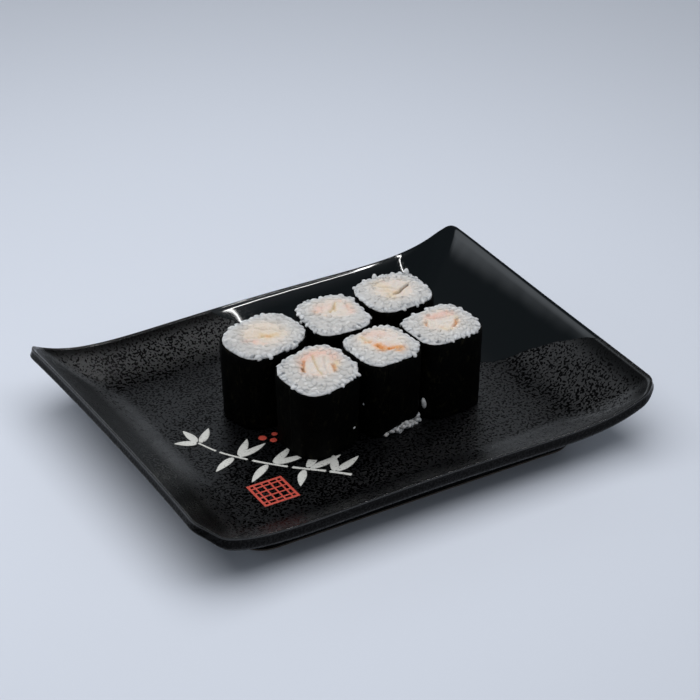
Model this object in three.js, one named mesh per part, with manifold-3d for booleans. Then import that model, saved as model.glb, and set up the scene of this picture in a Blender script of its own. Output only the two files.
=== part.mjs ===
// A rectangular stoneware plate with swept-up corners, carrying six thin seaweed rolls of rice and prawn.
// Millimetres, Z up. X runs along the plate, its front edge faces -Y, and the origin is the
// plate's centre on the table.
import * as THREE from "three";
import { mergeVertices } from "three/addons/utils/BufferGeometryUtils.js";
import Module from "manifold-3d";

const wasm = await Module();
wasm.setup();

// Driving dimensions of the plate
const plate = {
  halfLength: 88,
  halfWidth: 67,
  cornerRadius: 6,
  frontLeftRadius: 9.5,
  shortSideHollow: 0.86,
  longSideHollow: 0.2,
  floorHeight: 8,
  bodyThickness: 5,
  wallStart: 0.7,
  wallPower: 1.7,
  crestCorner: 25.4,
  crestLongMiddle: 17.7,
  crestShortMiddle: 26.3,
  rimFaceLong: 4.9,
  rimFaceShort: 3.1,
  rimLean: 1.4,
  crestRound: 0.9,
  crestLip: 0.2,
  cornerSweep: 1.4,
  crownSharp: 0.52,
};
const foot = {
  halfLength: 65.7,
  halfWidth: 54,
  cornerRadius: 10,
  wall: 4.5,
  draft: 1.2,
  recess: 1.6,
  recessDraft: 0.6,
};
const cornerSteps = 6;
const longSideSteps = 11;
const shortSideSteps = 8;
const wallRings = [0.7, 0.76, 0.82, 0.88, 0.94];
const underRings = [0.95, 0.9];

// Driving dimensions of the rolls
const seat = plate.floorHeight + 0.3;
const seaweedThickness = 0.4;
const seaweedOverlap = 0.35;
const overlapAngle = 0.6;
const overlapFade = 0.6;
const seamAngle = 0.012;
const prawnGap = 0.3;
const riceGap = 0.5;
const footTaper = 0.06;
const domeHeight = 0.9;
const prawnShoulder = 0.6;
const prawnEdgeRise = 0.7;
const lobeRelief = 0.45;
const lobeDepth = 0.06;
const lobeRipple = 0.03;
const riceInnerRise = 0.8;
const riceCrown = 0.65;
const riceCrownRise = 0.9;
const riceEdgeDrop = 0.2;
const towardsBack = THREE.MathUtils.degToRad(59.4);
const towardsRight = towardsBack - Math.PI / 2;
const seaweedSteps = 34;
const riceSteps = 24;

// Each roll: centre and half sizes of its outline, its turn in degrees, how square the outline is,
// the height of its top edge, the slope of the cut, how far its foot sits back, and where the
// seaweed's free end lies. The prawn's place is counted to the right and to the back of the centre.
const rolls = [
  { x: -24.2, y: 9.9, halfX: 14.8, halfY: 12.2, turn: 11, square: 2.7, top: 38.6, slope: 0.05, lean: 1.5,
    seam: 150, prawn: { right: 0.3, back: 0.2, width: 14.5, depth: 13.5, lobes: 4, phase: 0.4 } },
  { x: 3.1, y: 9.45, halfX: 11.7, halfY: 13, turn: -4, square: 3.6, top: 39, slope: 0, lean: 1,
    seam: 75, prawn: { right: 0.3, back: 3.2, width: 14, depth: 11.5, lobes: 3, phase: 1.7 } },
  { x: 29.3, y: 12.2, halfX: 13.1, halfY: 12.4, turn: 1, square: 3.3, top: 39, slope: 0, lean: 1,
    seam: 40, prawn: { right: 0, back: 1.3, width: 14, depth: 13, lobes: 4, phase: 2.6 } },
  { x: -18.5, y: -17.3, halfX: 13, halfY: 12.4, turn: 10, square: 3.2, top: 37.5, slope: 0.11, lean: 3.2,
    seam: 195, prawn: { right: 0.3, back: 2.8, width: 13, depth: 14, lobes: 3, phase: 0.9 } },
  { x: 7, y: -16.8, halfX: 11.7, halfY: 11.8, turn: 6.5, square: 3.8, top: 39, slope: 0, lean: 2.6,
    seam: 250, lift: 2.6, liftAt: -70, liftSpread: 46,
    prawn: { right: -0.2, back: 2.6, width: 15, depth: 13, lobes: 3, phase: 2.2 } },
  { x: 32.2, y: -15.2, halfX: 12.9, halfY: 11.6, turn: 4.5, square: 3.6, top: 39, slope: 0, lean: 0.3,
    seam: 20, prawn: { right: 0, back: 1.2, width: 12.5, depth: 13, lobes: 3, phase: 1.2 } },
];

// Driving dimensions of the rice grains that show on top
const grain = { halfLength: 2.4, halfWidth: 1.35, halfHeight: 1.2, spacing: 3.3, sunk: 0.3, tilt: 0.3 };
const grainsPerRoll = 24;
const grainBand = { from: 0.16, to: 0.84, fall: 0.6 };
const grainSides = 5;
const grainRows = 4;
const grainTries = 1500;
const headroom = 6;
const grainSeed = 4107;
const weldDistance = 1e-4;

// Finishes
const stoneware = new THREE.MeshStandardMaterial({ color: 0x26282a, roughness: 0.55, metalness: 0 });
const seaweed = new THREE.MeshStandardMaterial({ color: 0x0b0f0c, roughness: 0.5, metalness: 0 });
const rice = new THREE.MeshStandardMaterial({ color: 0xe4e8ec, roughness: 0.45, metalness: 0 });
const prawnFlesh = new THREE.MeshStandardMaterial({ color: 0xf0cdb6, roughness: 0.4, metalness: 0 });

const object = new THREE.Group();

function addMesh(name, geometry, material) {
  const mesh = new THREE.Mesh(geometry, material);
  mesh.name = name;
  object.add(mesh);
}

// Rings are lists of points with the same count, counter-clockwise from above.
function geometryOf(points, faces) {
  const geometry = new THREE.BufferGeometry();
  geometry.setAttribute("position", new THREE.Float32BufferAttribute(points.flat(), 3));
  geometry.setIndex(faces);
  return geometry;
}

function bandFaces(first, second, count) {
  const faces = [];
  for (let i = 0; i < count; i++) {
    const next = (i + 1) % count;
    faces.push(first + i, second + i, second + next);
    faces.push(first + i, second + next, first + next);
  }
  return faces;
}

// A solid from a top centre out over its rings and back in to a bottom centre
function cappedLoft(topCentre, rings, bottomCentre) {
  const count = rings[0].length;
  const points = [...rings.flat(), topCentre, bottomCentre];
  const top = rings.length * count;
  const last = (rings.length - 1) * count;
  const faces = [];
  for (let i = 0; i < count; i++) {
    const next = (i + 1) % count;
    faces.push(top, i, next);
    faces.push(top + 1, last + next, last + i);
  }
  for (let r = 0; r + 1 < rings.length; r++) {
    faces.push(...bandFaces(r * count, (r + 1) * count, count));
  }
  return geometryOf(points, faces);
}

// A solid ring whose section runs through its rings and closes on the first
function closedLoft(rings) {
  const count = rings[0].length;
  const faces = [];
  for (let r = 0; r < rings.length; r++) {
    const second = (r + 1) % rings.length;
    faces.push(...bandFaces(r * count, second * count, count));
  }
  return geometryOf(rings.flat(), faces);
}

// Points of a rounded rectangle with their outward direction, starting at the right side's middle
function roundedRectangle(halfLength, halfWidth, radiusAt) {
  const corners = [
    { sx: 1, sy: 1, steps: longSideSteps },
    { sx: -1, sy: 1, steps: shortSideSteps },
    { sx: -1, sy: -1, steps: longSideSteps },
    { sx: 1, sy: -1, steps: shortSideSteps },
  ];
  const arcs = corners.map(({ sx, sy }, k) => {
    const radius = radiusAt(sx, sy);
    const points = [];
    for (let i = 0; i <= cornerSteps; i++) {
      const angle = (k + i / cornerSteps) * (Math.PI / 2);
      const nx = Math.cos(angle);
      const ny = Math.sin(angle);
      points.push({
        x: sx * (halfLength - radius) + radius * nx,
        y: sy * (halfWidth - radius) + radius * ny,
        nx,
        ny,
      });
    }
    return points;
  });
  const outline = [];
  arcs.forEach((arc, k) => {
    const from = arc[cornerSteps];
    const to = arcs[(k + 1) % 4][0];
    outline.push(...arc);
    for (let i = 1; i < corners[k].steps; i++) {
      const t = i / corners[k].steps;
      outline.push({
        x: from.x + (to.x - from.x) * t,
        y: from.y + (to.y - from.y) * t,
        nx: from.nx,
        ny: from.ny,
      });
    }
  });
  return outline;
}

// The rim rises to its corners: a gentle dip along the long sides, a slight crown on the short ones
function crestHeight(point) {
  const u = Math.min(1, Math.abs(point.x) / plate.halfLength);
  const v = Math.min(1, Math.abs(point.y) / plate.halfWidth);
  const rise = plate.crestCorner - plate.crestLongMiddle;
  const crown = plate.crestShortMiddle - plate.crestCorner;
  const sweep = (t, sharp) => sharp * t ** 6 + (1 - sharp) * t ** 2;
  const long = plate.crestLongMiddle + rise * sweep(u, plate.cornerSweep);
  const short = plate.crestShortMiddle - crown * sweep(v, plate.crownSharp);
  const share = THREE.MathUtils.smoothstep(point.nx ** 2, 0, 1);
  return long + (short - long) * share;
}

function crestOutline() {
  const outline = roundedRectangle(plate.halfLength, plate.halfWidth, (sx, sy) =>
    sx < 0 && sy < 0 ? plate.frontLeftRadius : plate.cornerRadius,
  );
  return outline.map((point) => {
    const u = point.x / plate.halfLength;
    const v = point.y / plate.halfWidth;
    return {
      x: point.x * (1 - (plate.shortSideHollow / plate.halfLength) * (1 - v ** 2)),
      y: point.y * (1 - (plate.longSideHollow / plate.halfWidth) * (1 - u ** 2)),
      z: crestHeight(point),
      nx: point.nx,
      ny: point.ny,
      face: plate.rimFaceLong + (plate.rimFaceShort - plate.rimFaceLong) * point.nx ** 2,
      lean: plate.rimLean * point.nx ** 2,
    };
  });
}

// How far up the wall a share of the way to the crest lies
function wallShare(share) {
  return Math.max(0, (share - plate.wallStart) / (1 - plate.wallStart));
}

function topHeight(crest, share) {
  return plate.floorHeight + (crest.z - plate.floorHeight) * wallShare(share) ** plate.wallPower;
}

function thicknessAt(crest, share) {
  return plate.bodyThickness + (crest.face - plate.bodyThickness) * wallShare(share);
}

function plateGeometry() {
  const crest = crestOutline();
  const upper = (share) => crest.map((c) => [c.x * share, c.y * share, topHeight(c, share)]);
  const rim = (out, drop) =>
    crest.map((c) => [c.x + c.nx * out(c), c.y + c.ny * out(c), c.z - drop(c)]);
  const lower = (share) =>
    crest.map((c) => {
      const out = c.lean * wallShare(share);
      const z = topHeight(c, share) - thicknessAt(c, share);
      return [c.x * share + c.nx * out, c.y * share + c.ny * out, z];
    });
  const footOutline = (halfLength, halfWidth) =>
    roundedRectangle(halfLength, halfWidth, () => foot.cornerRadius);
  const footTop = footOutline(foot.halfLength + foot.draft, foot.halfWidth + foot.draft).map((p, i) => {
    const share = Math.max(Math.abs(p.x) / plate.halfLength, Math.abs(p.y) / plate.halfWidth);
    return [p.x, p.y, topHeight(crest[i], share) - thicknessAt(crest[i], share)];
  });
  const footRing = (inset, z) =>
    footOutline(foot.halfLength - inset, foot.halfWidth - inset).map((p) => [p.x, p.y, z]);
  const round = plate.crestRound;
  const lip = plate.crestLip;
  const rings = [
    ...wallRings.map(upper),
    upper(1 - round / plate.halfWidth),
    rim(() => lip / 2, () => 0),
    rim((c) => lip + (c.lean * round) / c.face, () => round),
    rim((c) => lip + c.lean * (1 - round / c.face), (c) => c.face - round),
    rim((c) => c.lean - lip, (c) => c.face),
    ...underRings.map(lower),
    footTop,
    footRing(0, 0),
    footRing(foot.wall, 0),
    footRing(foot.wall + foot.recessDraft, foot.recess),
  ];
  return cappedLoft([0, 0, plate.floorHeight], rings, [0, 0, foot.recess]);
}

// The outline of a roll is a rounded square: its radius in a direction
function outlineRadius(roll, angle) {
  const turned = angle - THREE.MathUtils.degToRad(roll.turn);
  const across = Math.abs(Math.cos(turned) / roll.halfX) ** roll.square;
  const along = Math.abs(Math.sin(turned) / roll.halfY) ** roll.square;
  return (across + along) ** (-1 / roll.square);
}

// The cut top is a plane that may slope down to the front
function cutHeight(roll, x, y) {
  const back = (x - roll.x) * Math.cos(towardsBack) + (y - roll.y) * Math.sin(towardsBack);
  return roll.top + roll.slope * back;
}

// A point in a roll from its plan place at the top, carried down its leaning, tapering body
function rollPoint(roll, x, y, level) {
  const scale = 1 - footTaper * (1 - level);
  const shift = roll.lean * (1 - level);
  return [
    roll.x + (x - roll.x) * scale + shift * Math.cos(towardsBack),
    roll.y + (y - roll.y) * scale + shift * Math.sin(towardsBack),
    seat + (cutHeight(roll, x, y) - seat) * level,
  ];
}

// Where the free end of the seaweed laps over its start, the wall is thicker
function overlapAt(roll, angle) {
  const seam = THREE.MathUtils.degToRad(roll.seam);
  const past = THREE.MathUtils.euclideanModulo(angle - seam, 2 * Math.PI);
  const fade = 1 - THREE.MathUtils.smoothstep(past, overlapAngle * overlapFade, overlapAngle);
  return past < overlapAngle ? seaweedOverlap * fade : 0;
}

// The lower edge of the seaweed may be lifted over a stretch, where the rice shows
function liftAt(roll, angle) {
  if (!roll.lift) return 0;
  const away = Math.acos(Math.cos(angle - THREE.MathUtils.degToRad(roll.liftAt)));
  const share = away / THREE.MathUtils.degToRad(roll.liftSpread);
  return share < 1 ? roll.lift * (1 - share ** 2) : 0;
}

function seaweedGeometry(roll) {
  const seam = THREE.MathUtils.degToRad(roll.seam);
  const angles = [seam - seamAngle];
  for (let i = 0; i < seaweedSteps; i++) {
    angles.push(seam + (i / seaweedSteps) * 2 * Math.PI);
  }
  const ring = (inset, level) =>
    angles.map((angle) => {
      const radius = outlineRadius(roll, angle) - inset(angle);
      const x = roll.x + radius * Math.cos(angle);
      const y = roll.y + radius * Math.sin(angle);
      const lifted = level === 1 ? 1 : liftAt(roll, angle) / (roll.top - seat);
      return rollPoint(roll, x, y, lifted);
    });
  const inner = () => seaweedThickness;
  const outer = (angle) => -overlapAt(roll, angle);
  return closedLoft([ring(inner, 0), ring(inner, 1), ring(outer, 1), ring(outer, 0)]);
}

// The prawn fills the middle: a lobed strip that runs through the roll
function prawnCentre(roll) {
  const { right, back } = roll.prawn;
  return {
    x: roll.x + right * Math.cos(towardsRight) + back * Math.cos(towardsBack),
    y: roll.y + right * Math.sin(towardsRight) + back * Math.sin(towardsBack),
  };
}

function prawnPlan(roll, angle, grow) {
  const { width, depth, lobes, phase } = roll.prawn;
  const centre = prawnCentre(roll);
  const lobed =
    1 + lobeDepth * Math.cos(lobes * angle + phase) + lobeRipple * Math.cos((lobes + 2) * angle - phase);
  const across = ((width / 2) * lobed + grow) * Math.cos(angle);
  const along = ((depth / 2) * lobed + grow) * Math.sin(angle);
  return {
    x: centre.x + across * Math.cos(towardsRight) + along * Math.cos(towardsBack),
    y: centre.y + across * Math.sin(towardsRight) + along * Math.sin(towardsBack),
  };
}

function prawnGeometry(roll) {
  const centre = prawnCentre(roll);
  const ring = (share, level, rise) => {
    const points = [];
    for (let i = 0; i < riceSteps; i++) {
      const plan = prawnPlan(roll, (i / riceSteps) * 2 * Math.PI, 0);
      const x = centre.x + (plan.x - centre.x) * share;
      const y = centre.y + (plan.y - centre.y) * share;
      const [px, py, pz] = rollPoint(roll, x, y, level);
      points.push([px, py, pz + rise(i)]);
    }
    return points;
  };
  const lobeTurn = (roll.prawn.lobes * 2 * Math.PI) / riceSteps;
  const lobeRise = (i) => domeHeight + lobeRelief * Math.cos(lobeTurn * i);
  const top = rollPoint(roll, centre.x, centre.y, 1);
  const bottom = rollPoint(roll, centre.x, centre.y, 0);
  const rings = [
    ring(prawnShoulder, 1, lobeRise),
    ring(1, 1, () => domeHeight * prawnEdgeRise),
    ring(1, 0, () => 0),
  ];
  return cappedLoft([top[0], top[1], top[2] + domeHeight - lobeRelief], rings, bottom);
}

// Rings of the rice: share 0 lies against the prawn and share 1 against the seaweed
function riceBetween(roll) {
  const inner = [];
  const outer = [];
  for (let i = 0; i < riceSteps; i++) {
    const angle = (i / riceSteps) * 2 * Math.PI;
    const turned = angle + towardsRight;
    const radius = outlineRadius(roll, turned) - seaweedThickness - riceGap;
    inner.push(prawnPlan(roll, angle, prawnGap));
    outer.push({ x: roll.x + radius * Math.cos(turned), y: roll.y + radius * Math.sin(turned) });
  }
  return (share, level, rise) =>
    inner.map((p, i) => {
      const x = p.x + (outer[i].x - p.x) * share;
      const y = p.y + (outer[i].y - p.y) * share;
      const [px, py, pz] = rollPoint(roll, x, y, level);
      return [px, py, pz + rise];
    });
}

// The rice core fills that space and domes a little on top
function riceCore(roll) {
  const between = riceBetween(roll);
  return closedLoft([
    between(0, 0, 0),
    between(0, 1, domeHeight * riceInnerRise),
    between(riceCrown, 1, domeHeight * riceCrownRise),
    between(1, 1, -riceEdgeDrop),
    between(1, 0, 0),
  ]);
}

// The room that rice may take: up to the seaweed, and clear of the prawn
function riceRoom(roll) {
  const between = riceBetween(roll);
  return closedLoft([
    between(0, 0, 0),
    between(0, 1, domeHeight * riceInnerRise),
    between(0, 1, headroom),
    between(1, 1, headroom),
    between(1, 1, -riceEdgeDrop),
    between(1, 0, 0),
  ]);
}

function seededRandom(seed) {
  let state = seed;
  return () => {
    state = (state + 0x6d2b79f5) | 0;
    let mixed = Math.imul(state ^ (state >>> 15), 1 | state);
    mixed = (mixed + Math.imul(mixed ^ (mixed >>> 7), 61 | mixed)) ^ mixed;
    return ((mixed ^ (mixed >>> 14)) >>> 0) / 4294967296;
  };
}

// Places for the grains on a roll's top, spread by dropping any that lands too near another
function grainPlaces(roll, random) {
  const between = riceBetween(roll);
  const places = [];
  for (let t = 0; t < grainTries && places.length < grainsPerRoll; t++) {
    const share = grainBand.from + (grainBand.to - grainBand.from) * random();
    const index = Math.floor(random() * riceSteps);
    const rise = domeHeight * (1 - grainBand.fall * share ** 3) - grain.sunk;
    const [x, y, z] = between(share, 1, rise)[index];
    const clear = places.every((p) => Math.hypot(p.x - x, p.y - y) > grain.spacing);
    const yaw = random() * Math.PI;
    const pitch = (random() - 0.5) * 2 * grain.tilt;
    if (clear) places.push({ x, y, z, yaw, pitch });
  }
  return places;
}

function grainGeometry(place) {
  const geometry = new THREE.SphereGeometry(1, grainSides, grainRows);
  geometry.rotateZ(Math.PI / 2);
  geometry.scale(grain.halfLength, grain.halfWidth, grain.halfHeight);
  geometry.rotateY(place.pitch);
  geometry.rotateZ(place.yaw);
  geometry.translate(place.x, place.y, place.z);
  return geometry;
}

function solidOf(geometry) {
  const bare = geometry.clone();
  bare.deleteAttribute("normal");
  bare.deleteAttribute("uv");
  const merged = mergeVertices(bare, weldDistance);
  return new wasm.Manifold(
    new wasm.Mesh({
      numProp: 3,
      vertProperties: new Float32Array(merged.attributes.position.array),
      triVerts: new Uint32Array(merged.index.array),
    }),
  );
}

function geometryFromSolid(solid) {
  const mesh = solid.getMesh();
  const geometry = new THREE.BufferGeometry();
  geometry.setAttribute("position", new THREE.BufferAttribute(new Float32Array(mesh.vertProperties), 3));
  geometry.setIndex(new THREE.BufferAttribute(new Uint32Array(mesh.triVerts), 1));
  return geometry;
}

function riceGeometry(roll, random) {
  let grains = null;
  for (const place of grainPlaces(roll, random)) {
    const solid = solidOf(grainGeometry(place));
    grains = grains ? grains.add(solid) : solid;
  }
  const kept = grains.intersect(solidOf(riceRoom(roll)));
  const joined = solidOf(riceCore(roll)).add(kept);
  const largest = joined.decompose().reduce((a, b) => (a.volume() > b.volume() ? a : b));
  return geometryFromSolid(largest);
}

const random = seededRandom(grainSeed);
addMesh("plate", plateGeometry(), stoneware);
rolls.forEach((roll, i) => {
  addMesh("nori_" + (i + 1), seaweedGeometry(roll), seaweed);
  addMesh("rice_" + (i + 1), riceGeometry(roll, random), rice);
  addMesh("prawn_" + (i + 1), prawnGeometry(roll), prawnFlesh);
});

export default object;
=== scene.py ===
"""Six thin seaweed rolls of rice and prawn on a rectangular stoneware plate with swept-up corners."""

import math

import bpy
import numpy as np
from mathutils import Euler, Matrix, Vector, noise


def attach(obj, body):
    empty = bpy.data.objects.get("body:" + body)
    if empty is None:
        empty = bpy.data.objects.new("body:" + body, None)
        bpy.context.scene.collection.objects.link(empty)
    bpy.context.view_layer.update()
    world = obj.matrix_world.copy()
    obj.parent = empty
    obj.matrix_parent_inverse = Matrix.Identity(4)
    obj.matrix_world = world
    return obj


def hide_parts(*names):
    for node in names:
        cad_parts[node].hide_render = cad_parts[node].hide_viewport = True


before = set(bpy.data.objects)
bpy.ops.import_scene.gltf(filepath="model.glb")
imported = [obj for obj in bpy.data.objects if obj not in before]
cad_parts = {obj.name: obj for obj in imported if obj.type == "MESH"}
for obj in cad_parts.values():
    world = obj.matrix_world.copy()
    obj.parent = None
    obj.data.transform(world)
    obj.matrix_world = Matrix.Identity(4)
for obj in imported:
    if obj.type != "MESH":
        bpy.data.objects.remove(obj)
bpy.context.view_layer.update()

bl_info = {
    "name": "Rice rolls on a plate",
    "version": (1, 0, 0),
    "blender": (4, 5, 0),
    "location": "3D View > Sidebar > Rolls",
    "description": "Builds six thin rice rolls on a dark stoneware plate, with a pale studio stage",
    "category": "Add Mesh",
}

MM = 0.001
BODY = "root"

# Plan directions to the right and to the back as the camera sees them, in which fillings are laid out
BACK_ANGLE = math.radians(59.4)
BACK = np.array([math.cos(BACK_ANGLE), math.sin(BACK_ANGLE)])
RIGHT = np.array([math.sin(BACK_ANGLE), -math.cos(BACK_ANGLE)])

# How finely the surfaces are divided
CORNER_STEPS = 14
LONG_SIDE_STEPS = 84
SHORT_SIDE_STEPS = 64
WALL_STEPS = 24
ROUND_STEPS = 7
SEAWEED_STEPS = 190
SEAWEED_LEVELS = 26
RICE_STEPS = 96
PRAWN_STEPS = 132
PRAWN_RINGS = 34
STEM_STEPS = 120


# Properties that a user would change
def size(name, description, millimetres):
    return bpy.props.FloatProperty(
        name=name, description=description, default=millimetres * MM, unit="LENGTH", precision=5
    )


def number(name, description, default):
    return bpy.props.FloatProperty(name=name, description=description, default=default)


def factor(name, description, default):
    return bpy.props.FloatProperty(
        name=name, description=description, default=default, min=0, max=1, subtype="FACTOR"
    )


def degrees(name, description, default):
    return bpy.props.FloatProperty(
        name=name, description=description, default=math.radians(default), subtype="ANGLE"
    )


def colour(name, description, default):
    return bpy.props.FloatVectorProperty(
        name=name, description=description, default=default, size=3, min=0, max=1, subtype="COLOR"
    )


class PlateSizes(bpy.types.PropertyGroup):
    """Sizes of the plate, its rim and its foot."""

    half_length: size("Half length", "From the middle to the crest of a short side", 88)
    half_width: size("Half width", "From the middle to the crest of a long side", 67)
    corner_radius: size("Corner radius", "Radius of the corners in plan", 6)
    front_left_radius: size("Front left radius", "Radius of the one rounder corner", 9.5)
    short_side_hollow: size("Short side hollow", "How far a short side bows in", 0.86)
    long_side_hollow: size("Long side hollow", "How far a long side bows in", 0.2)
    floor_height: size("Floor height", "Height of the flat middle above the table", 8)
    body_thickness: size("Body thickness", "Thickness of the flat middle", 5)
    wall_start: factor("Wall start", "Share of the way out at which the wall begins to rise", 0.7)
    wall_power: number("Wall power", "How late the wall steepens", 1.7)
    crest_corner: size("Crest at a corner", "Height of the rim at a corner", 25.4)
    crest_long_middle: size("Crest of the long side", "Height of the rim in a long side's middle", 17.7)
    crest_short_middle: size("Crest of the short side", "Height of the rim in a short side's middle", 26.3)
    rim_face_long: size("Rim face, long side", "Height of the rim's outer face", 4.9)
    rim_face_short: size("Rim face, short side", "Height of the rim's outer face", 3.1)
    rim_lean: size("Rim lean", "How far a short side's rim face leans out below", 1.4)
    crest_round: size("Crest round", "Rounding of the crest", 0.9)
    crest_lip: size("Crest lip", "How far the rim face stands outside the crest", 0.2)
    corner_sweep: number("Corner sweep", "How suddenly the long side rises to its corners", 1.4)
    crown_sharp: number("Crown sharpness", "How suddenly the short side falls to its corners", 0.52)
    foot_half_length: size("Foot half length", "Half length of the foot", 65.7)
    foot_half_width: size("Foot half width", "Half width of the foot", 54)
    foot_corner_radius: size("Foot corner radius", "Radius of the foot's corners", 10)
    foot_wall: size("Foot wall", "Width of the ring that the plate stands on", 4.5)
    foot_draft: size("Foot draft", "How far the foot widens upwards", 1.2)
    foot_recess: size("Foot recess", "Height of the hollow inside the foot", 1.6)
    foot_recess_draft: size("Recess draft", "How far the hollow narrows upwards", 0.6)
    foot_round: size("Foot round", "Rounding of the foot's edges", 0.7)


class RollSizes(bpy.types.PropertyGroup):
    """Sizes that the six rolls share."""

    seat_gap: size("Seat gap", "Gap between the plate and the rolls", 0.3)
    seaweed_thickness: size("Seaweed thickness", "Thickness of the sheet", 0.3)
    seaweed_overlap: size("Seaweed overlap", "How far the free end stands out", 0.35)
    seaweed_wrinkle: size("Seaweed wrinkle", "Depth of the sheet's wrinkles", 0.2)
    seaweed_ragged: size("Seaweed ragged edge", "Unevenness of the sheet's cut edges", 0.22)
    overlap_angle: degrees("Overlap angle", "Turn over which the overlap fades", 34.4)
    foot_taper: factor("Foot taper", "How much narrower a roll's foot is", 0.06)
    dome: size("Dome", "How far the filling bulges above the cut", 0.9)
    prawn_gap: size("Prawn gap", "Gap between prawn and rice core", 0.3)
    rice_gap: size("Rice gap", "Gap between the rice core and the seaweed", 0.5)


class RiceSizes(bpy.types.PropertyGroup):
    """Sizes of the rice grains and how they lie."""

    half_length: size("Half length", "Half length of a grain", 2.0)
    half_width: size("Half width", "Half width of a grain", 1.08)
    half_height: size("Half height", "Half thickness of a grain", 0.95)
    bend: size("Bend", "How far a grain's ends droop", 0.25)
    spacing: size("Spacing", "Least distance between grains in the cut", 1.75)
    sunk: size("Sunk", "How far the middles of the grains lie below the cut's dome", 0.52)
    tilt: degrees("Tilt", "Greatest tilt of a grain in the cut", 14)
    edge_spacing: size("Edge spacing", "Least distance between grains round the edge", 1.5)
    edge_sunk: size("Edge sunk", "How far the grains round the edge lie below the cut's dome", 0.3)
    edge_tilt: degrees("Edge tilt", "Greatest tilt of a grain round the edge", 18)
    edge_share: factor("Edge size", "Size of the grains round the edge, beside the others", 0.85)
    core_raised: size("Core raised", "How far the packed core lies above the cut's dome", 0.07)
    seed: bpy.props.IntProperty(name="Seed", description="Seed of the grains' places", default=41)


class Finishes(bpy.types.PropertyGroup):
    """Colours of the surfaces."""

    glaze: colour("Matte glaze", "Dark iron glaze between its specks", (0.0035, 0.0037, 0.0042))
    # Painted sheen: the wall glaze and its specks are lighter than the floor's, for the light the walls
    # catch.
    wall_glaze_with_sheen: colour("Wall glaze", "Thinner matte glaze on the rising walls", (0.021, 0.0212, 0.022))
    wall_speck_with_sheen: colour("Specks on the walls", "Dark specks in the thinner glaze", (0.008, 0.008, 0.0085))
    speck: colour("Specks", "Dark specks in the matte glaze", (0.0004, 0.0004, 0.0005))
    rim_glaze: colour("Rim glaze", "Thin glaze along the rim", (0.003, 0.0028, 0.0022))
    gloss_glaze: colour("Gloss glaze", "Black glaze of the back corner", (0.002, 0.0036, 0.0046))
    clay: colour("Clay", "Bare clay under the foot", (0.11, 0.085, 0.068))
    decor_white: colour("Decor white", "White enamel of the decor", (0.6, 0.6, 0.57))
    decor_red: colour("Decor red", "Red enamel of the decor", (0.5, 0.072, 0.05))
    seaweed: colour("Seaweed", "Dark seaweed", (0.0003, 0.0004, 0.0003))
    seaweed_pale: colour("Seaweed, thin spots", "Thinner spots of the seaweed", (0.011, 0.01, 0.005))
    rice: colour("Rice", "Boiled rice", (0.53, 0.518, 0.505))
    # Painted shade: a cooler rice colour near the seaweed, for the seaweed's shade.
    rice_shaded_edge: colour("Rice, edge", "Clearer grains round the edge", (0.53, 0.537, 0.548))
    flesh: colour("Prawn flesh", "White of the prawn", (0.63, 0.56, 0.5))
    pink: colour("Prawn pink", "Pink edge of the prawn", (0.68, 0.42, 0.34))
    orange: colour("Orange", "Orange pockets between the flesh", (0.66, 0.25, 0.02))
    yellow: colour("Yellow", "Yellowish flesh", (0.64, 0.49, 0.28))
    brown: colour("Brown", "Dark clefts between the flesh", (0.2, 0.12, 0.045))
    floor: colour("Floor", "Pale floor", (0.625, 0.662, 0.74))


class StageSettings(bpy.types.PropertyGroup):
    """The camera and the studio light."""

    azimuth: degrees("Azimuth", "Camera's turn round the plate", -30.57)
    elevation: degrees("Elevation", "Camera's height above the horizon", 31.5)
    distance: size("Distance", "From the camera to the point it looks at", 953.87)
    target_x: size("Target X", "Point the camera looks at", 28.9)
    target_y: size("Target Y", "Point the camera looks at", 41.36)
    lens: number("Lens", "Focal length in millimetres on a 36 mm sensor", 132.69)
    backdrop_light: number("Backdrop light", "Brightness of the room low down behind the plate", 1.3)
    front_light: number("Front light", "Brightness of the room low down before the plate", 0.4)
    ceiling_light: number("Ceiling light", "Brightness of the room overhead", 0.1)
    glow_light: number("Glow light", "Brightness of the soft glow at the front right overhead", 0.4)
    panel_x: size("Panel X", "Middle of the light panel overhead", -110)
    panel_y: size("Panel Y", "Middle of the light panel overhead", -10)
    panel_height: size("Panel height", "Height of the light panel and the lamp", 600)
    panel_length: size("Panel length", "Size of the light panel along X", 850)
    panel_width: size("Panel width", "Size of the light panel along Y", 850)
    panel_power: number("Panel power", "Power of the light panel in watts", 4.85)
    lamp_x: size("Lamp X", "Middle of the lamp beside the panel", 333)
    lamp_y: size("Lamp Y", "Middle of the lamp beside the panel", -10)
    lamp_length: size("Lamp length", "Half size of the lamp's loop along X", 81.25)
    lamp_width: size("Lamp width", "Half size of the lamp's loop along Y", 185)
    lamp_light: number("Lamp light", "Brightness of the lamp's loop", 40)


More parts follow.
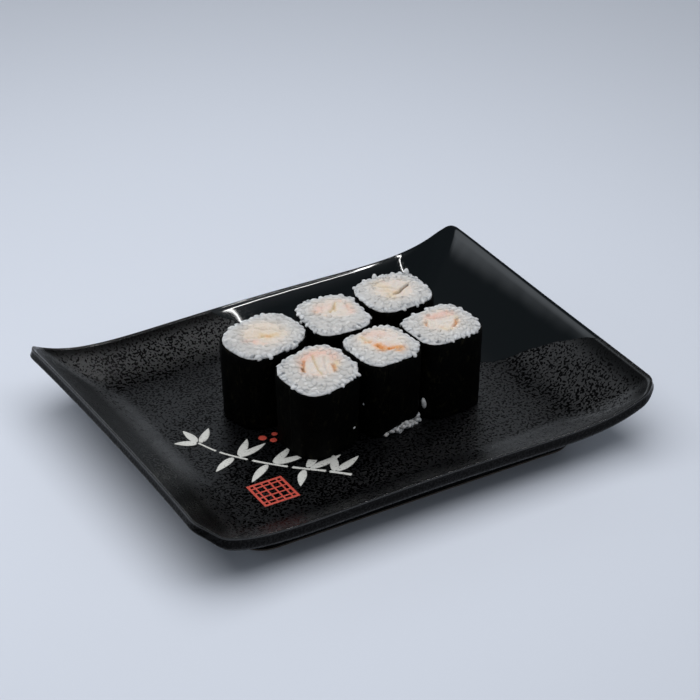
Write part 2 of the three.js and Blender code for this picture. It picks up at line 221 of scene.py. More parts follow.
# The rolls: centre and half sizes of the outline, its turn, how square it is, the height of the cut
# and its slope, how far the foot sits back, and where the seaweed's free end lies. The prawn's
# place is counted to the right and to the back of the centre.
ROLL_VALUES = ("x", "y", "half_x", "half_y", "turn", "square", "top", "slope", "lean", "seam")
PRAWN_VALUES = ("right", "back", "width", "depth", "lobes", "phase")
ROLLS = tuple(
    dict(zip(ROLL_VALUES, outline), prawn=dict(zip(PRAWN_VALUES, prawn)))
    for outline, prawn in (
        ((-24.2, 9.9, 14.8, 12.2, 11, 2.7, 38.6, 0.05, 1.5, 150), (0.3, 0.2, 14.5, 13.5, 4, 0.4)),
        ((3.1, 9.45, 11.7, 13, -4, 3.6, 39, 0, 1, 75), (0.3, 3.2, 14, 11.5, 3, 1.7)),
        ((29.3, 12.2, 13.1, 12.4, 1, 3.3, 39, 0, 1, 40), (0, 1.3, 14, 13, 4, 2.6)),
        ((-18.5, -17.3, 13, 12.4, 10, 3.2, 37.5, 0.11, 3.2, 195), (0.3, 2.8, 13, 14, 3, 0.9)),
        ((7, -16.8, 11.7, 11.8, 6.5, 3.8, 39, 0, 2.6, 250), (-0.2, 2.6, 15, 13, 3, 2.2)),
        ((32.2, -15.2, 12.9, 11.6, 4.5, 3.6, 39, 0, 0.3, 20), (0, 1.2, 12.5, 13, 3, 1.2)),
    )
)

# The seaweed's lower edge is lifted on the front middle roll: how far, where round it and how widely
ROLLS[4].update(lift=3.2, lift_at=-73, lift_spread=49)

# What shows in each cut, in millimetres to the right and to the back of the roll's centre.
# A tint is a colour, the line it follows, its reach and its strength; a cleft is a line and a depth.
FILLINGS = (
    {
        "tints": (
            ("yellow", ((-4, 2), (4, 2)), 4.5, 0.18),
            ("yellow", ((-0.5, -0.6), (1.5, -1.4), (3.9, -0.1)), 1.5, 0.75),
            ("orange", ((0.8, -1), (2, -1.2)), 0.7, 0.3),
            ("pink", ((-6, -4.4), (-4.3, -4.2), (-2.5, -4.8)), 1.3, 0.6),
            ("pink", ((-0.4, -5.8), (0.8, -5.9)), 0.8, 0.4),
        ),
        "clefts": (
            (((-6, -2.6), (-2.5, -2.2), (0.5, -1.2), (2.4, -1.6)), 0.4),
            (((-3.4, 3.6), (0, 2.6), (3, 3), (6, 1.8)), 0.35),
        ),
    },
    {
        "tints": (
            ("pink", ((-6, 1.5), (-2, 4.5)), 2.4, 0.3),
            ("pink", ((-4.2, 4.2), (-5.6, 4.4), (-4.6, 1.1)), 1, 0.5),
            ("yellow", ((0.8, 7.4), (0, 3.4), (-1, 1.1)), 0.55, 0.85),
            ("yellow", ((0.6, 5), (0.6, 1.9)), 0.5, 0.7),
            ("pink", ((4.8, 5.4), (6.4, 2.6), (6.8, 0.6)), 1.2, 0.6),
            ("pink", ((2.4, 8.4), (4.2, 8)), 1, 0.5),
            ("orange", ((-6.4, 0.6), (-5.6, -0.4)), 0.8, 0.3),
        ),
        "clefts": (
            (((0.9, 7.6), (0, 3.4), (-1, 0.8)), 0.6),
            (((0.6, 5), (0.7, 1.6)), 0.4),
            (((-4, 5.6), (-3.7, 1.8)), 0.4),
            (((4, 7), (5.4, 2.4)), 0.35),
        ),
    },
    {
        "tints": (
            ("yellow", ((-5.8, 4.2), (-3.5, 2.9), (-0.9, -1.6), (-0.9, -4.4)), 2.2, 0.45),
            ("yellow", ((1, -1.6), (2.6, 0.4)), 1, 0.6),
            ("brown", ((5.5, 4.7), (3.2, 1.5), (1.8, -1.2), (0.5, -2.1)), 0.5, 0.8),
            ("brown", ((-1, -4.2), (-1.2, -4.8)), 0.4, 0.5),
            ("brown", ((-6.2, 3.9), (-6, 3.8)), 0.35, 0.5),
        ),
        "clefts": (
            (((5.7, 5), (3.2, 1.5), (1.8, -1.2), (0.4, -2.2)), 1.3),
            (((-5, 2), (-1.4, 2.2), (1.4, 0.8)), 0.35),
            (((-1.6, -2.6), (-1.1, -4.8)), 0.5),
        ),
    },
    {
        "tints": (
            ("pink", ((-5.2, 4.2), (-3, 7.2), (0.4, 8.6), (3.5, 8.8), (5.8, 7.4), (6.2, 5.2)), 1.9, 0.85),
            ("pink", ((-5.6, 1.4), (-5, -2.6)), 0.9, 0.5),
            ("pink", ((-4.2, -3.6), (-1.5, -4), (2.3, -3.9)), 0.8, 0.4),
            ("orange", ((-4.8, 3.8), (-5, 0.5), (-4.6, -1.7)), 0.7, 0.65),
            ("brown", ((-5, 0.2), (-4.6, -1.7)), 0.5, 0.7),
            ("orange", ((5.3, 2.2), (5.9, 0.1), (6.1, -1)), 0.75, 0.8),
            ("brown", ((5.8, 0.3), (6.1, -0.9)), 0.4, 0.6),
            ("yellow", ((6.3, 3.6), (6.8, 1.2)), 1, 0.6),
            ("yellow", ((-1.7, 7.1), (-0.8, 3), (0.5, -1.1), (2.2, -3.6)), 0.4, 0.7),
        ),
        "clefts": (
            (((-1.7, 6.6), (-0.8, 3), (0.5, -1.1), (2.2, -3.6)), 0.7),
            (((-4.7, 3.4), (-5, 0.4), (-4.6, -1.8)), 1),
            (((5.2, 2.4), (5.9, 0.1), (6.2, -1.2)), 1),
            (((2.2, 6), (2.6, 1), (3.4, -2.6)), 0.5),
        ),
    },
    {
        "tints": (
            ("pink", ((-5.3, 6.2), (-2.7, 6.6), (0.4, 7)), 2.3, 0.5),
            ("pink", ((-2.4, 0.4), (3, -1), (7, -1.4)), 1.3, 0.4),
            ("yellow", ((-6.6, 4.4), (-6, 2.8), (-4.4, 1.4)), 0.9, 0.6),
            ("orange", ((-5.3, 0.9), (-3.8, 1.5)), 0.8, 0.6),
            ("orange", ((-1.4, -0.8), (0, -2.6), (0.3, -3.7)), 1.5, 1),
            ("orange", ((0.3, -3.2), (2, -2.7), (4.4, -2.7), (5.9, -3.3)), 1.25, 1),
            ("orange", ((5.4, -2.6), (6.2, -3.5), (7, -2.4)), 1.55, 1),
            ("brown", ((0, -2.8), (0.3, -3.6)), 0.45, 0.5),
            ("brown", ((6, -3.3), (6.6, -3.2)), 0.45, 0.4),
        ),
        "clefts": (
            (((-1, -1.2), (0.2, -3), (3.2, -2.8), (5.8, -3.2), (6.8, -2.6)), 0.9),
            (((-6.4, 3.4), (-3.8, 1.2)), 0.5),
            (((-1.4, 5), (1.4, 3.2)), 0.35),
        ),
    },
    {
        "tints": (
            ("pink", ((-4.6, 4), (-2.6, 4.2), (-0.8, 5), (1.6, 6.6), (3.4, 6.4)), 1.6, 0.85),
            ("orange", ((-5.3, 0.9), (-5.3, -2.2)), 0.6, 0.55),
            ("orange", ((5.4, 1.8), (4.9, -1.2), (4.3, -2.9)), 0.85, 0.75),
            ("brown", ((4.9, -0.8), (4.6, -1.8)), 0.4, 0.4),
            ("yellow", ((0.1, -3.3), (2.2, -4.4), (3.5, -4.2)), 1, 0.5),
            ("yellow", ((5.2, 4), (5.4, 2.6)), 0.7, 0.5),
        ),
        "clefts": (
            (((-4.4, 2.6), (-0.8, 3.4), (2.8, 4.4)), 0.45),
            (((-5.2, 1.4), (-5.2, -2.4)), 0.6),
            (((5.5, 2.2), (4.9, -1.2), (4.2, -3)), 0.8),
        ),
    },
)

# Single grains that stick out of a cut or cling to the seaweed: the roll each goes with, its middle,
# half length, heading and tilt
LOOSE_GRAINS = (
    (3, (28.9, 24.0, 38.9), 1.9, 70, 48),
    (3, (30.6, 23.6, 38.8), 1.8, 10, 20),
    (3, (39.8, 20.6, 39.4), 2.1, 40, 58),
    (3, (38.6, 20.0, 38.9), 1.9, 150, 30),
    (4, (-8.9, -25.5, 16.0), 0.55, 20, 20),
    (5, (-2.9, -21.6, 21.5), 0.5, 70, 50),
    (6, (21.0, -22.5, 14.6), 2.1, 120, 80),
)

# The line where the gloss glaze meets the matte one: its Y at each X
GLAZE_LINE = ((-30, 92), (-20, 72), (-13.8, 64.7), (-8.4, 61), (20, 38), (45, 11), (59.7, -1.9), (65.9, -4.9),
              (75, -11.3), (83, -23), (88, -36), (90, -44))
GLAZE_SPAN = ((-30, 90), (-44, 92))

# How far that line wavers, and how far behind it the one glaze gives way to the other, in metres
GLAZE_WAVER = 0.0022
GLAZE_EDGE = (0.0009, 0.0014)

# Heights in metres over which the matte glaze is painted lighter up the walls as sheen, and the bare clay
# ends at the foot
WALL_SHEEN_FADE = (0.0083, 0.0125)
CLAY_FADE = (0.0011, 0.0006)

# How far a point is in the rim's glaze: this much inside the crest, this much where the crest is worn,
# and 1 outside. Inside, the glaze begins at a share of the way out, and further in on the left.
RIM_INSIDE = 0.5
RIM_WORN = 0.75
RIM_BAND_START = 0.9
RIM_BAND_LEFT = 0.14
RIM_BAND_WIDTH = 0.1

# Shares of the way out at which the plate's flat floor and its underside are divided
FLOOR_SHARES = (0.15, 0.3, 0.45, 0.6, 0.67)
UNDERSIDE_SHARES = (0.97, 0.95, 0.92, 0.89, 0.86)

# Levels of the speck noise above which specks show, in dense and in sparse patches, how soft their
# edges are, and how metallic they are
SPECK_LEVELS = (0.475, 0.535)
SPECK_EDGE = (-0.02, 0.045)
SPECK_METAL = 0.96

# Roughness of each finish, or its two ends where it varies
MATTE_ROUGHNESS = (0.5, 0.4)
SPECK_ROUGHNESS = 0.25
CREST_ROUGHNESS = 0.15
GLOSS_ROUGHNESS = 0.035
CLAY_ROUGHNESS = 0.85
ENAMEL_ROUGHNESS = 0.42
SEAWEED_ROUGHNESS = (0.75, 0.6)
RICE_ROUGHNESS = 0.35
PRAWN_ROUGHNESS = 0.33
FLOOR_ROUGHNESS = 0.75

# The decor: a sprig of pointed leaves on a jointed stem, a square of crossing bars, and three dots.
# Each leaf is its foot, length and heading; each dot is its middle and radius.
STEM = ((-18, -39.5), (-24, -33.5), (-33, -25.5), (-42, -16), (-50, -5), (-54, 4.5))
STEM_JOINTS = (0.2, 0.42, 0.63, 0.82)
LEAVES = ((-22, -35, 12, 20), (-22.5, -35, 10.5, 62), (-29, -29, 13.5, 8), (-29.5, -28.5, 12, 42),
          (-30, -28.5, 10, 232), (-38, -20, 13, -4), (-38, -20, 11.5, 30), (-39, -19.5, 12, 214),
          (-46.5, -10.5, 12.5, 12), (-46, -10.5, 11, 46), (-47, -10, 10.5, 206), (-54, 4, 9, 96),
          (-53.5, 3.5, 9.5, 44), (-54, 3.5, 8, 150))
LATTICE = {"x": -45.8, "y": -34.6, "half": 6.7, "bars": 4, "bar": 0.62, "border": 0.95}
BERRIES = ((-33.2, -4.5, 1.5), (-30.6, -7.6, 1.3), (-28.4, -4.4, 1.1))
LEAF_HALF_WIDTH = 1.55
LEAF_BEND = 0.25
STEM_HALF_WIDTH = 0.62
STEM_TAPER = 0.3
ENAMEL_HEIGHT = 0.16
ENAMEL_BEVEL = 0.12

# The most grains that a bed may hold, a square metre
MOST_GRAINS = 1200000.0

# Shares of the rice's width, from the prawn to the seaweed, that the two beds of grains cover
CUT_BED = (-0.04, 0.88)
EDGE_BED = (0.8, 0.96)

# Share of the dome's height that is lost at the seaweed
DOME_FALL = 0.8

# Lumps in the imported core, in millimetres and in waves a millimetre
CORE_LUMPS = (0.26, 0.62)

# The rice is painted cooler near the seaweed, as its shade, up to these distances from the seaweed in
# millimetres, and takes on the flesh's colour near the prawn, counted in the prawn's half sizes. A grain's
# shade is the first value and up to the second more, and the filling's tints are this strong on the rice.
EDGE_SHADE_REACH = (0.8, 3.5)
WARM_REACH = (0.9, 1.5)
WARM_SHARE = 0.8
GRAIN_SHADES = (0.84, 0.3)
TINT_ON_RICE = 0.7

# The prawn's outline ripples by these shares, and its clefts and their shade are this wide in
# millimetres
PRAWN_RIPPLES = (0.06, 0.03)
CLEFT_WIDTH = 0.55
CLEFT_SHADE_WIDTH = 0.4

# Relief of the flesh: height in millimetres, waves a millimetre and what is added to the seed, which
# moves on by a step from roll to roll
FLESH_LUMPS = ((0.3, 0.28, 0), (0.16, 0.8, 3))
FLESH_FIBRES = (0.07, 2.2, 9)
SEED_STEP = 4.1

# The seaweed is pinched in towards the cut by this much in millimetres, over the last of its height
PINCH = 0.25
PINCH_START = 0.93

# Lighter patches in the boiled rice and in the prawn's flesh
CHALKY = (0.62, 0.615, 0.6)
PALE_FIBRE = (0.8, 0.74, 0.69)

# The room's light, by the height of the direction it comes from: where the dimmer horizon brightens,
# its share of that brightness, and where the dark ceiling begins and ends. Then the direction of the
# glow overhead, how it fades round that, and the tint of all the light.
HAZE_EDGE = (0.16, 0.34)
HORIZON_SHARE = 0.6
CEILING_EDGE = (0.36, 0.5)
GLOW_TOWARDS = (0.434, -0.62, 0.654)
GLOW_EDGE = (0.86, 0.99)
SKY_TINT = (0.93, 1.0, 1.08)

# The floor's colour darkens over these distances from a point near the plate, a painted falloff of the
# light, from the first share of its colour to the second, and reaches this far each way, in metres
FLOOR_PAINTED_CENTRE = (0, 0.1, 0)
FLOOR_PAINTED_FADE = (0.1, 0.4)
FLOOR_PAINTED_LIGHT = (1.02, 0.88)
FLOOR_REACH = 6

# The lamp's loop: how far its outer and inner edge lie inside the lamp's size, along X and Y, and
# the rounding of their corners, in millimetres
LAMP_EDGES = ((0, 0, 50), (3, 13, 47))


# Meshes
def mesh_object(name, points, faces, material, smooth=True, attributes=None):
    mesh = bpy.data.meshes.new(name)
    mesh.from_pydata(np.asarray(points, float).reshape(-1, 3).tolist(), [], faces)
    mesh.polygons.foreach_set("use_smooth", [smooth] * len(mesh.polygons))
    for key, values in (attributes or {}).items():
        values = np.asarray(values, np.float32)
        kind, field = ("FLOAT", "value") if values.ndim == 1 else ("FLOAT_COLOR", "color")
        layer = mesh.attributes.new(key, kind, "POINT")
        layer.data.foreach_set(field, values.ravel())
    mesh.materials.append(material)
    mesh.validate()
    made = bpy.data.objects.new(name, mesh)
    bpy.context.scene.collection.objects.link(made)
    return made


def band(first, second, count):
    """Faces between two rings of count points that start at these indices."""
    ahead = [(i + 1) % count for i in range(count)]
    return [(first + i, second + i, second + ahead[i], first + ahead[i]) for i in range(count)]


def fan(centre, ring, count, inward):
    """Faces between a centre point and a ring of count points that starts at an index."""
    ahead = [(i + 1) % count for i in range(count)]
    if inward:
        return [(centre, ring + ahead[i], ring + i) for i in range(count)]
    return [(centre, ring + i, ring + ahead[i]) for i in range(count)]


def capped_loft(start, rings, end):
    """A closed surface from a start point out over its rings and in to an end point."""
    count = len(rings[0])
    points = np.concatenate([*rings, [start], [end]])
    last = (len(rings) - 1) * count
    faces = fan(len(points) - 2, 0, count, False) + fan(len(points) - 1, last, count, True)
    for row in range(len(rings) - 1):
        faces += band(row * count, (row + 1) * count, count)
    return points, faces


def closed_loft(rings):
    """A closed surface whose section runs through its rings and back to the first."""
    count = len(rings[0])
    faces = []
    for row in range(len(rings)):
        faces += band(row * count, (row + 1) % len(rings) * count, count)
    return np.concatenate(rings), faces


def arc(start, middle, end, steps):
    """Rings of a curve from start through middle to end, without the start."""
    pull = 2 * middle - (start + end) / 2
    return [
        (1 - t) ** 2 * start + 2 * t * (1 - t) * pull + t**2 * end
        for t in np.linspace(0, 1, steps + 1)[1:]
    ]


def straight(start, end, steps):
    """Rings between start and end, with the end and without the start."""
    return [start + (end - start) * t for t in np.linspace(0, 1, steps + 1)[1:]]


def smooth_step(value, low, high):
    t = np.clip((value - low) / (high - low), 0, 1)
    return t * t * (3 - 2 * t)


def noise_at(points, scale, seed=0.0):
    """Smooth noise from -1 to 1 at each point."""
    shift = Vector((seed, seed * 1.7, seed * 2.3))
    flat = np.asarray(points, float).reshape(-1, 3)
    values = [noise.noise(Vector(p) * scale + shift) for p in flat]
    return np.array(values).reshape(np.shape(points)[:-1])


# Shader nodes
def node(tree, kind, inputs=None, **settings):
    """Adds a node with its settings and its inputs."""
    made = tree.nodes.new(kind)
    for key, value in settings.items():
        setattr(made, key, value)
    set_inputs(tree, made, inputs or {})
    return made


def set_inputs(tree, made, inputs):
    """Sets a node's inputs; each is a value, or another node's output to link."""
    for key, value in inputs.items():
        if isinstance(value, bpy.types.NodeSocket):
            tree.links.new(value, made.inputs[key])
        else:
            made.inputs[key].default_value = value


def new_material(name, shown):
    """A material with an empty tree and its shader; shown is its colour in the plain view."""
    material = bpy.data.materials.new(name)
    material.use_nodes = True
    material.diffuse_color = (*shown, 1)
    tree = material.node_tree
    tree.nodes.clear()
    shader = node(tree, "ShaderNodeBsdfPrincipled")
    node(tree, "ShaderNodeOutputMaterial", {"Surface": shader.outputs["BSDF"]})
    return material, tree, shader


def place(tree):
    """The place of a point on its object, in metres."""
    return node(tree, "ShaderNodeTexCoord").outputs["Object"]


def noise_field(tree, vector, scale, detail=2.0, roughness=0.5, distortion=0.0):
    """Noise with scale waves a metre."""
    inputs = {"Vector": vector, "Scale": scale, "Detail": detail}
    inputs.update({"Roughness": roughness, "Distortion": distortion})
    return node(tree, "ShaderNodeTexNoise", inputs).outputs["Fac"]


def combine(tree, operation, first, second):
    return node(tree, "ShaderNodeMath", {0: first, 1: second}, operation=operation).outputs[0]


def map_range(tree, value, low, high, low_to=0.0, high_to=1.0, kind="LINEAR"):
    inputs = {"Value": value, "From Min": low, "From Max": high, "To Min": low_to, "To Max": high_to}
    return node(tree, "ShaderNodeMapRange", inputs, interpolation_type=kind).outputs["Result"]


def step_between(tree, value, low, high, low_to=0.0, high_to=1.0):
    """A smooth step from one value to another as the input goes from low to high."""
    return map_range(tree, value, low, high, low_to, high_to, "SMOOTHSTEP")


def blend_colours(tree, share, first, second):
    """A mix of two colours, each three numbers or another node's output."""
    ends = [one if isinstance(one, bpy.types.NodeSocket) else (*one, 1) for one in (first, second)]
    return node(tree, "ShaderNodeMix", {0: share, 6: ends[0], 7: ends[1]}, data_type="RGBA").outputs[2]


def blend_numbers(tree, share, first, second):
    return node(tree, "ShaderNodeMix", {0: share, 2: first, 3: second}, data_type="FLOAT").outputs[0]


def bump(tree, height, depth, strength=1.0, normal=None):
    made = node(tree, "ShaderNodeBump", {"Height": height, "Distance": depth, "Strength": strength})
    if normal is not None:
        tree.links.new(normal, made.inputs["Normal"])
    return made.outputs["Normal"]


# The plate
def rounded_rectangle(half_length, half_width, radii):
    """Points round a rounded rectangle and their outward directions, anticlockwise from the right."""
    arcs = []
    for k, (sx, sy) in enumerate(((1, 1), (-1, 1), (-1, -1), (1, -1))):
        angle = (k + np.linspace(0, 1, CORNER_STEPS + 1)) * (math.pi / 2)
        out = np.stack([np.cos(angle), np.sin(angle)], 1)
        centre = np.array([sx * (half_length - radii[k]), sy * (half_width - radii[k])])
        arcs.append((centre + radii[k] * out, out))
    points = []
    outward = []
    for k, (line, out) in enumerate(arcs):
        steps = SHORT_SIDE_STEPS if k % 2 else LONG_SIDE_STEPS
        along = np.linspace(0, 1, steps + 1)[1:-1, None]
        following = arcs[(k + 1) % 4][0][0]
        points += [line, line[-1] + (following - line[-1]) * along]
        outward += [out, np.repeat(out[-1:], steps - 1, 0)]
    return np.concatenate(points), np.concatenate(outward)


class Crest:
    """The crest of the rim, and the surfaces of the plate that follow from it."""

    def __init__(self, sizes):
        self.sizes = sizes
        radii = [sizes.corner_radius, sizes.corner_radius, sizes.front_left_radius, sizes.corner_radius]
        plan, self.out = rounded_rectangle(sizes.half_length, sizes.half_width, radii)
        u = plan[:, 0] / sizes.half_length
        v = plan[:, 1] / sizes.half_width
        self.end_on = self.out[:, 0] ** 2
        self.height = self.crest_height(abs(u), abs(v))
        hollow = [
            1 - sizes.short_side_hollow / sizes.half_length * (1 - v**2),
            1 - sizes.long_side_hollow / sizes.half_width * (1 - u**2),
        ]
        self.plan = plan * np.stack(hollow, 1)
        self.face = sizes.rim_face_long + (sizes.rim_face_short - sizes.rim_face_long) * self.end_on
        self.lean = sizes.rim_lean * self.end_on

    def crest_height(self, u, v):
        s = self.sizes
        rise = s.crest_corner - s.crest_long_middle
        crown = s.crest_short_middle - s.crest_corner
        long_side = s.crest_long_middle + rise * (s.corner_sweep * u**6 + (1 - s.corner_sweep) * u**2)
        short_side = s.crest_short_middle - crown * (s.crown_sharp * v**6 + (1 - s.crown_sharp) * v**2)
        return long_side + (short_side - long_side) * smooth_step(self.end_on, 0, 1)

    def wall_share(self, share):
        return np.maximum(0, (share - self.sizes.wall_start) / (1 - self.sizes.wall_start))

    def top(self, share):
        s = self.sizes
        return s.floor_height + (self.height - s.floor_height) * self.wall_share(share) ** s.wall_power

    def thickness(self, share):
        s = self.sizes
        return s.body_thickness + (self.face - s.body_thickness) * self.wall_share(share)

    def upper(self, share):
        return np.column_stack([self.plan * share, self.top(share) * np.ones(len(self.plan))])

    def rim(self, out, drop):
        plan = self.plan + self.out * np.reshape(out, (-1, 1))
        return np.column_stack([plan, self.height - drop])

    def lower(self, share):
        out = self.lean * self.wall_share(share)
        plan = self.plan * share + self.out * out[:, None]
        return np.column_stack([plan, self.top(share) - self.thickness(share)])

    def foot_top(self):
        s = self.sizes
        radii = [s.foot_corner_radius] * 4
        plan, _ = rounded_rectangle(
            s.foot_half_length + s.foot_draft, s.foot_half_width + s.foot_draft, radii
        )
        share = np.maximum(abs(plan[:, 0]) / s.half_length, abs(plan[:, 1]) / s.half_width)
        return np.column_stack([plan, self.top(share) - self.thickness(share)])

    def foot(self, inset, height):
        s = self.sizes
        plan, _ = rounded_rectangle(
            s.foot_half_length - inset, s.foot_half_width - inset, [s.foot_corner_radius] * 4
        )
        return np.column_stack([plan, np.full(len(plan), height)])


def plate_rings(sizes):
    """Rings of the plate from the middle of its floor to the middle of its underside, and for each
    point how far it is in the rim's glaze."""
    crest = Crest(sizes)
    s = sizes
    wall_end = 1 - s.crest_round / s.half_width
    shares = [*FLOOR_SHARES, *np.linspace(s.wall_start, wall_end, WALL_STEPS)]
    rings = [crest.upper(share) for share in shares]
    band_start = RIM_BAND_START - RIM_BAND_LEFT * smooth_step(-crest.out[:, 0], 0.5, 1)
    near = [RIM_INSIDE * smooth_step(share, band_start, band_start + RIM_BAND_WIDTH) for share in shares]
    face_top = crest.rim(s.crest_lip + crest.lean * s.crest_round / crest.face, s.crest_round)
    face_foot = crest.rim(
        s.crest_lip + crest.lean * (1 - s.crest_round / crest.face), crest.face - s.crest_round
    )
    rings += arc(rings[-1], crest.rim(s.crest_lip / 2 * np.ones(len(crest.face)), 0), face_top, ROUND_STEPS)
    near += [RIM_WORN] * (len(rings) - len(near) - 1)
    rings += straight(face_top, face_foot, 3)
    rings += arc(face_foot, crest.rim(crest.lean - s.crest_lip, crest.face * 0.98), crest.lower(0.985), 5)
    rings += [crest.lower(share) for share in UNDERSIDE_SHARES]
    foot_top = crest.foot_top()
    outer = crest.foot(0, s.foot_round)
    bottom = crest.foot(s.foot_round, 0)
    rings += [foot_top]
    rings += straight(foot_top, outer, 3)
    rings += arc(outer, crest.foot(s.foot_round * 0.25, s.foot_round * 0.25), bottom, 4)
    rings += [crest.foot(s.foot_wall - s.foot_round, 0)]
    recess = crest.foot(s.foot_wall + s.foot_recess_draft, s.foot_recess)
    inner = crest.foot(s.foot_wall, s.foot_round)
    rings += arc(rings[-1], crest.foot(s.foot_wall - s.foot_round * 0.25, s.foot_round * 0.25), inner, 4)
    rings += straight(inner, recess, 3)
    rings += [crest.foot(s.foot_wall * 3, s.foot_recess)]
    near += [1] * (len(rings) - len(near))
    return rings, np.concatenate([one * np.ones(len(rings[0])) for one in near])


def stoneware_material(finish):
    """Two glazes that meet along a line: a speckled matte one, painted lighter up the walls as sheen, and a
    black gloss one. The rim's crest is worn smooth, and the clay is bare under the foot."""
    material, tree, shader = new_material("stoneware_glazes", finish.glaze)
    where = place(tree)
    axes = node(tree, "ShaderNodeSeparateXYZ", {"Vector": where}).outputs
    rim = node(tree, "ShaderNodeAttribute", attribute_name="rim").outputs["Fac"]
    gloss = gloss_mask(tree, where, axes)
    patches = noise_field(tree, where, 55, 3)
    specks = speck_mask(tree, where, patches, rim)
    # Painted sheen: above the floor the glaze and its specks take lighter colours, for the light the walls
    # catch.
    painted_wall_sheen = step_between(tree, axes["Z"], *WALL_SHEEN_FADE)
    matte = blend_colours(tree, painted_wall_sheen, finish.glaze, finish.wall_glaze_with_sheen)
    dark = blend_colours(tree, painted_wall_sheen, finish.speck, finish.wall_speck_with_sheen)
    matte = blend_colours(tree, specks, matte, dark)
    fine = noise_field(tree, where, 2600, 2, 0.6)
    thin = blend_colours(tree, step_between(tree, fine, 0.42, 0.6), finish.rim_glaze, finish.speck)
    matte = blend_colours(tree, step_between(tree, rim, 0, RIM_INSIDE, 0, 0.6), matte, thin)
    colour_out = blend_colours(tree, gloss, matte, finish.gloss_glaze)
    bare = step_between(tree, axes["Z"], *CLAY_FADE)
    colour_out = blend_colours(tree, bare, colour_out, finish.clay)
    worn = step_between(tree, rim, RIM_WORN, 1, 1, 0)
    worn = combine(tree, "MULTIPLY", worn, step_between(tree, rim, RIM_INSIDE, RIM_WORN))
    rough = step_between(tree, patches, 0.38, 0.62, *MATTE_ROUGHNESS)
    covers = ((specks, SPECK_ROUGHNESS), (worn, CREST_ROUGHNESS), (gloss, GLOSS_ROUGHNESS))
    for cover, roughness in (*covers, (bare, CLAY_ROUGHNESS)):
        rough = blend_numbers(tree, cover, rough, roughness)
    dry = combine(tree, "SUBTRACT", 1.0, gloss)
    pits = combine(tree, "MULTIPLY", specks, dry)
    iron = combine(tree, "MULTIPLY", pits, SPECK_METAL)
    iron = combine(tree, "MAXIMUM", iron, step_between(tree, rim, 0, RIM_INSIDE))
    for left in (combine(tree, "SUBTRACT", 1.0, worn), dry, combine(tree, "SUBTRACT", 1.0, bare)):
        iron = combine(tree, "MULTIPLY", iron, left)
    height = combine(tree, "SUBTRACT", gloss, combine(tree, "MULTIPLY", pits, 0.3))
    waves = noise_field(tree, where, 70, 1)
    normal = bump(tree, height, 0.00008, 1.0, bump(tree, waves, 0.0004, 0.25))
    set_inputs(
        tree, shader, {"Base Color": colour_out, "Roughness": rough, "Metallic": iron, "Normal": normal}
    )
    return material


def gloss_mask(tree, where, axes):
    """1 behind the line where the gloss glaze begins, and 0 before it."""
    (low_x, high_x), (low_y, high_y) = GLAZE_SPAN
    along = map_range(tree, axes["X"], low_x * MM, high_x * MM)
    curve = node(tree, "ShaderNodeFloatCurve", {"Value": along})
    line = curve.mapping.curves[0]
    spots = [((x - low_x) / (high_x - low_x), (y - low_y) / (high_y - low_y)) for x, y in GLAZE_LINE]
    line.points[0].location = spots[0]
    line.points[1].location = spots[-1]
    for spot in spots[1:-1]:
        line.points.new(*spot)
    curve.mapping.update()
    start = map_range(tree, curve.outputs["Value"], 0, 1, low_y * MM, high_y * MM)
    waver = combine(tree, "MULTIPLY", noise_field(tree, where, 160, 3), GLAZE_WAVER)
    behind = combine(tree, "SUBTRACT", axes["Y"], start)
    return step_between(tree, combine(tree, "ADD", behind, waver), *GLAZE_EDGE)


def speck_mask(tree, where, patches, rim):
    """Dense irregular dark specks, sparser in patches and inside the rim, denser on its outside."""
    grains = noise_field(tree, where, 1150, 1.5)
    level = step_between(tree, patches, 0.35, 0.65, *SPECK_LEVELS)
    level = combine(tree, "ADD", level, step_between(tree, rim, 0, RIM_INSIDE, 0, 0.05))
    level = combine(tree, "ADD", level, step_between(tree, rim, RIM_INSIDE, 1, 0, -0.11))
    return step_between(tree, combine(tree, "SUBTRACT", grains, level), *SPECK_EDGE)


def make_plate(sizes, finish):
    rings, near = plate_rings(sizes)
    start = (0, 0, sizes.floor_height)
    end = (0, 0, sizes.foot_recess)
    points, faces = capped_loft(start, rings, end)
    rim = np.concatenate([near, [0, 1]])
    return mesh_object("plate_glazed", points, faces, stoneware_material(finish), attributes={"rim": rim})


# The decor
def stroke(line, widths, base, height):
    """A low domed ribbon along a line in plan, as wide as widths says at each point."""
    line = np.asarray(line, float)
    ahead = np.gradient(line, axis=0)
    ahead /= np.linalg.norm(ahead, axis=1)[:, None]
    side = np.stack([-ahead[:, 1], ahead[:, 0]], 1)
    turn = np.linspace(0, 2 * math.pi, 13)[:-1]
    rings = []
    for point, across, half in zip(line[1:-1], side[1:-1], np.asarray(widths)[1:-1]):
        plan = point + across * (half * np.cos(turn))[:, None]
        rings.append(np.column_stack([plan, base + height * np.sin(turn)]))
    return capped_loft((*line[0], base), rings, (*line[-1], base))


def merge_shapes(shapes):
    points = []
    faces = []
    for more_points, more_faces in shapes:
        start = sum(len(p) for p in points)
        points.append(np.asarray(more_points))
        faces += [tuple(i + start for i in face) for face in more_faces]
    return np.concatenate(points), faces


def leaf(x, y, length, heading, base):
    """A slender pointed leaf that bends a little."""
    t = np.linspace(0, 1, 22)
    angle = math.radians(heading) + LEAF_BEND * (t - 0.5)
    step = length / (len(t) - 1)
    line = np.stack([x + np.cumsum(np.cos(angle)) * step, y + np.cumsum(np.sin(angle)) * step], 1)
    widths = LEAF_HALF_WIDTH * np.sin(math.pi * t**0.72) ** 0.8
    return stroke(line * MM, widths * MM, base, ENAMEL_HEIGHT * MM)


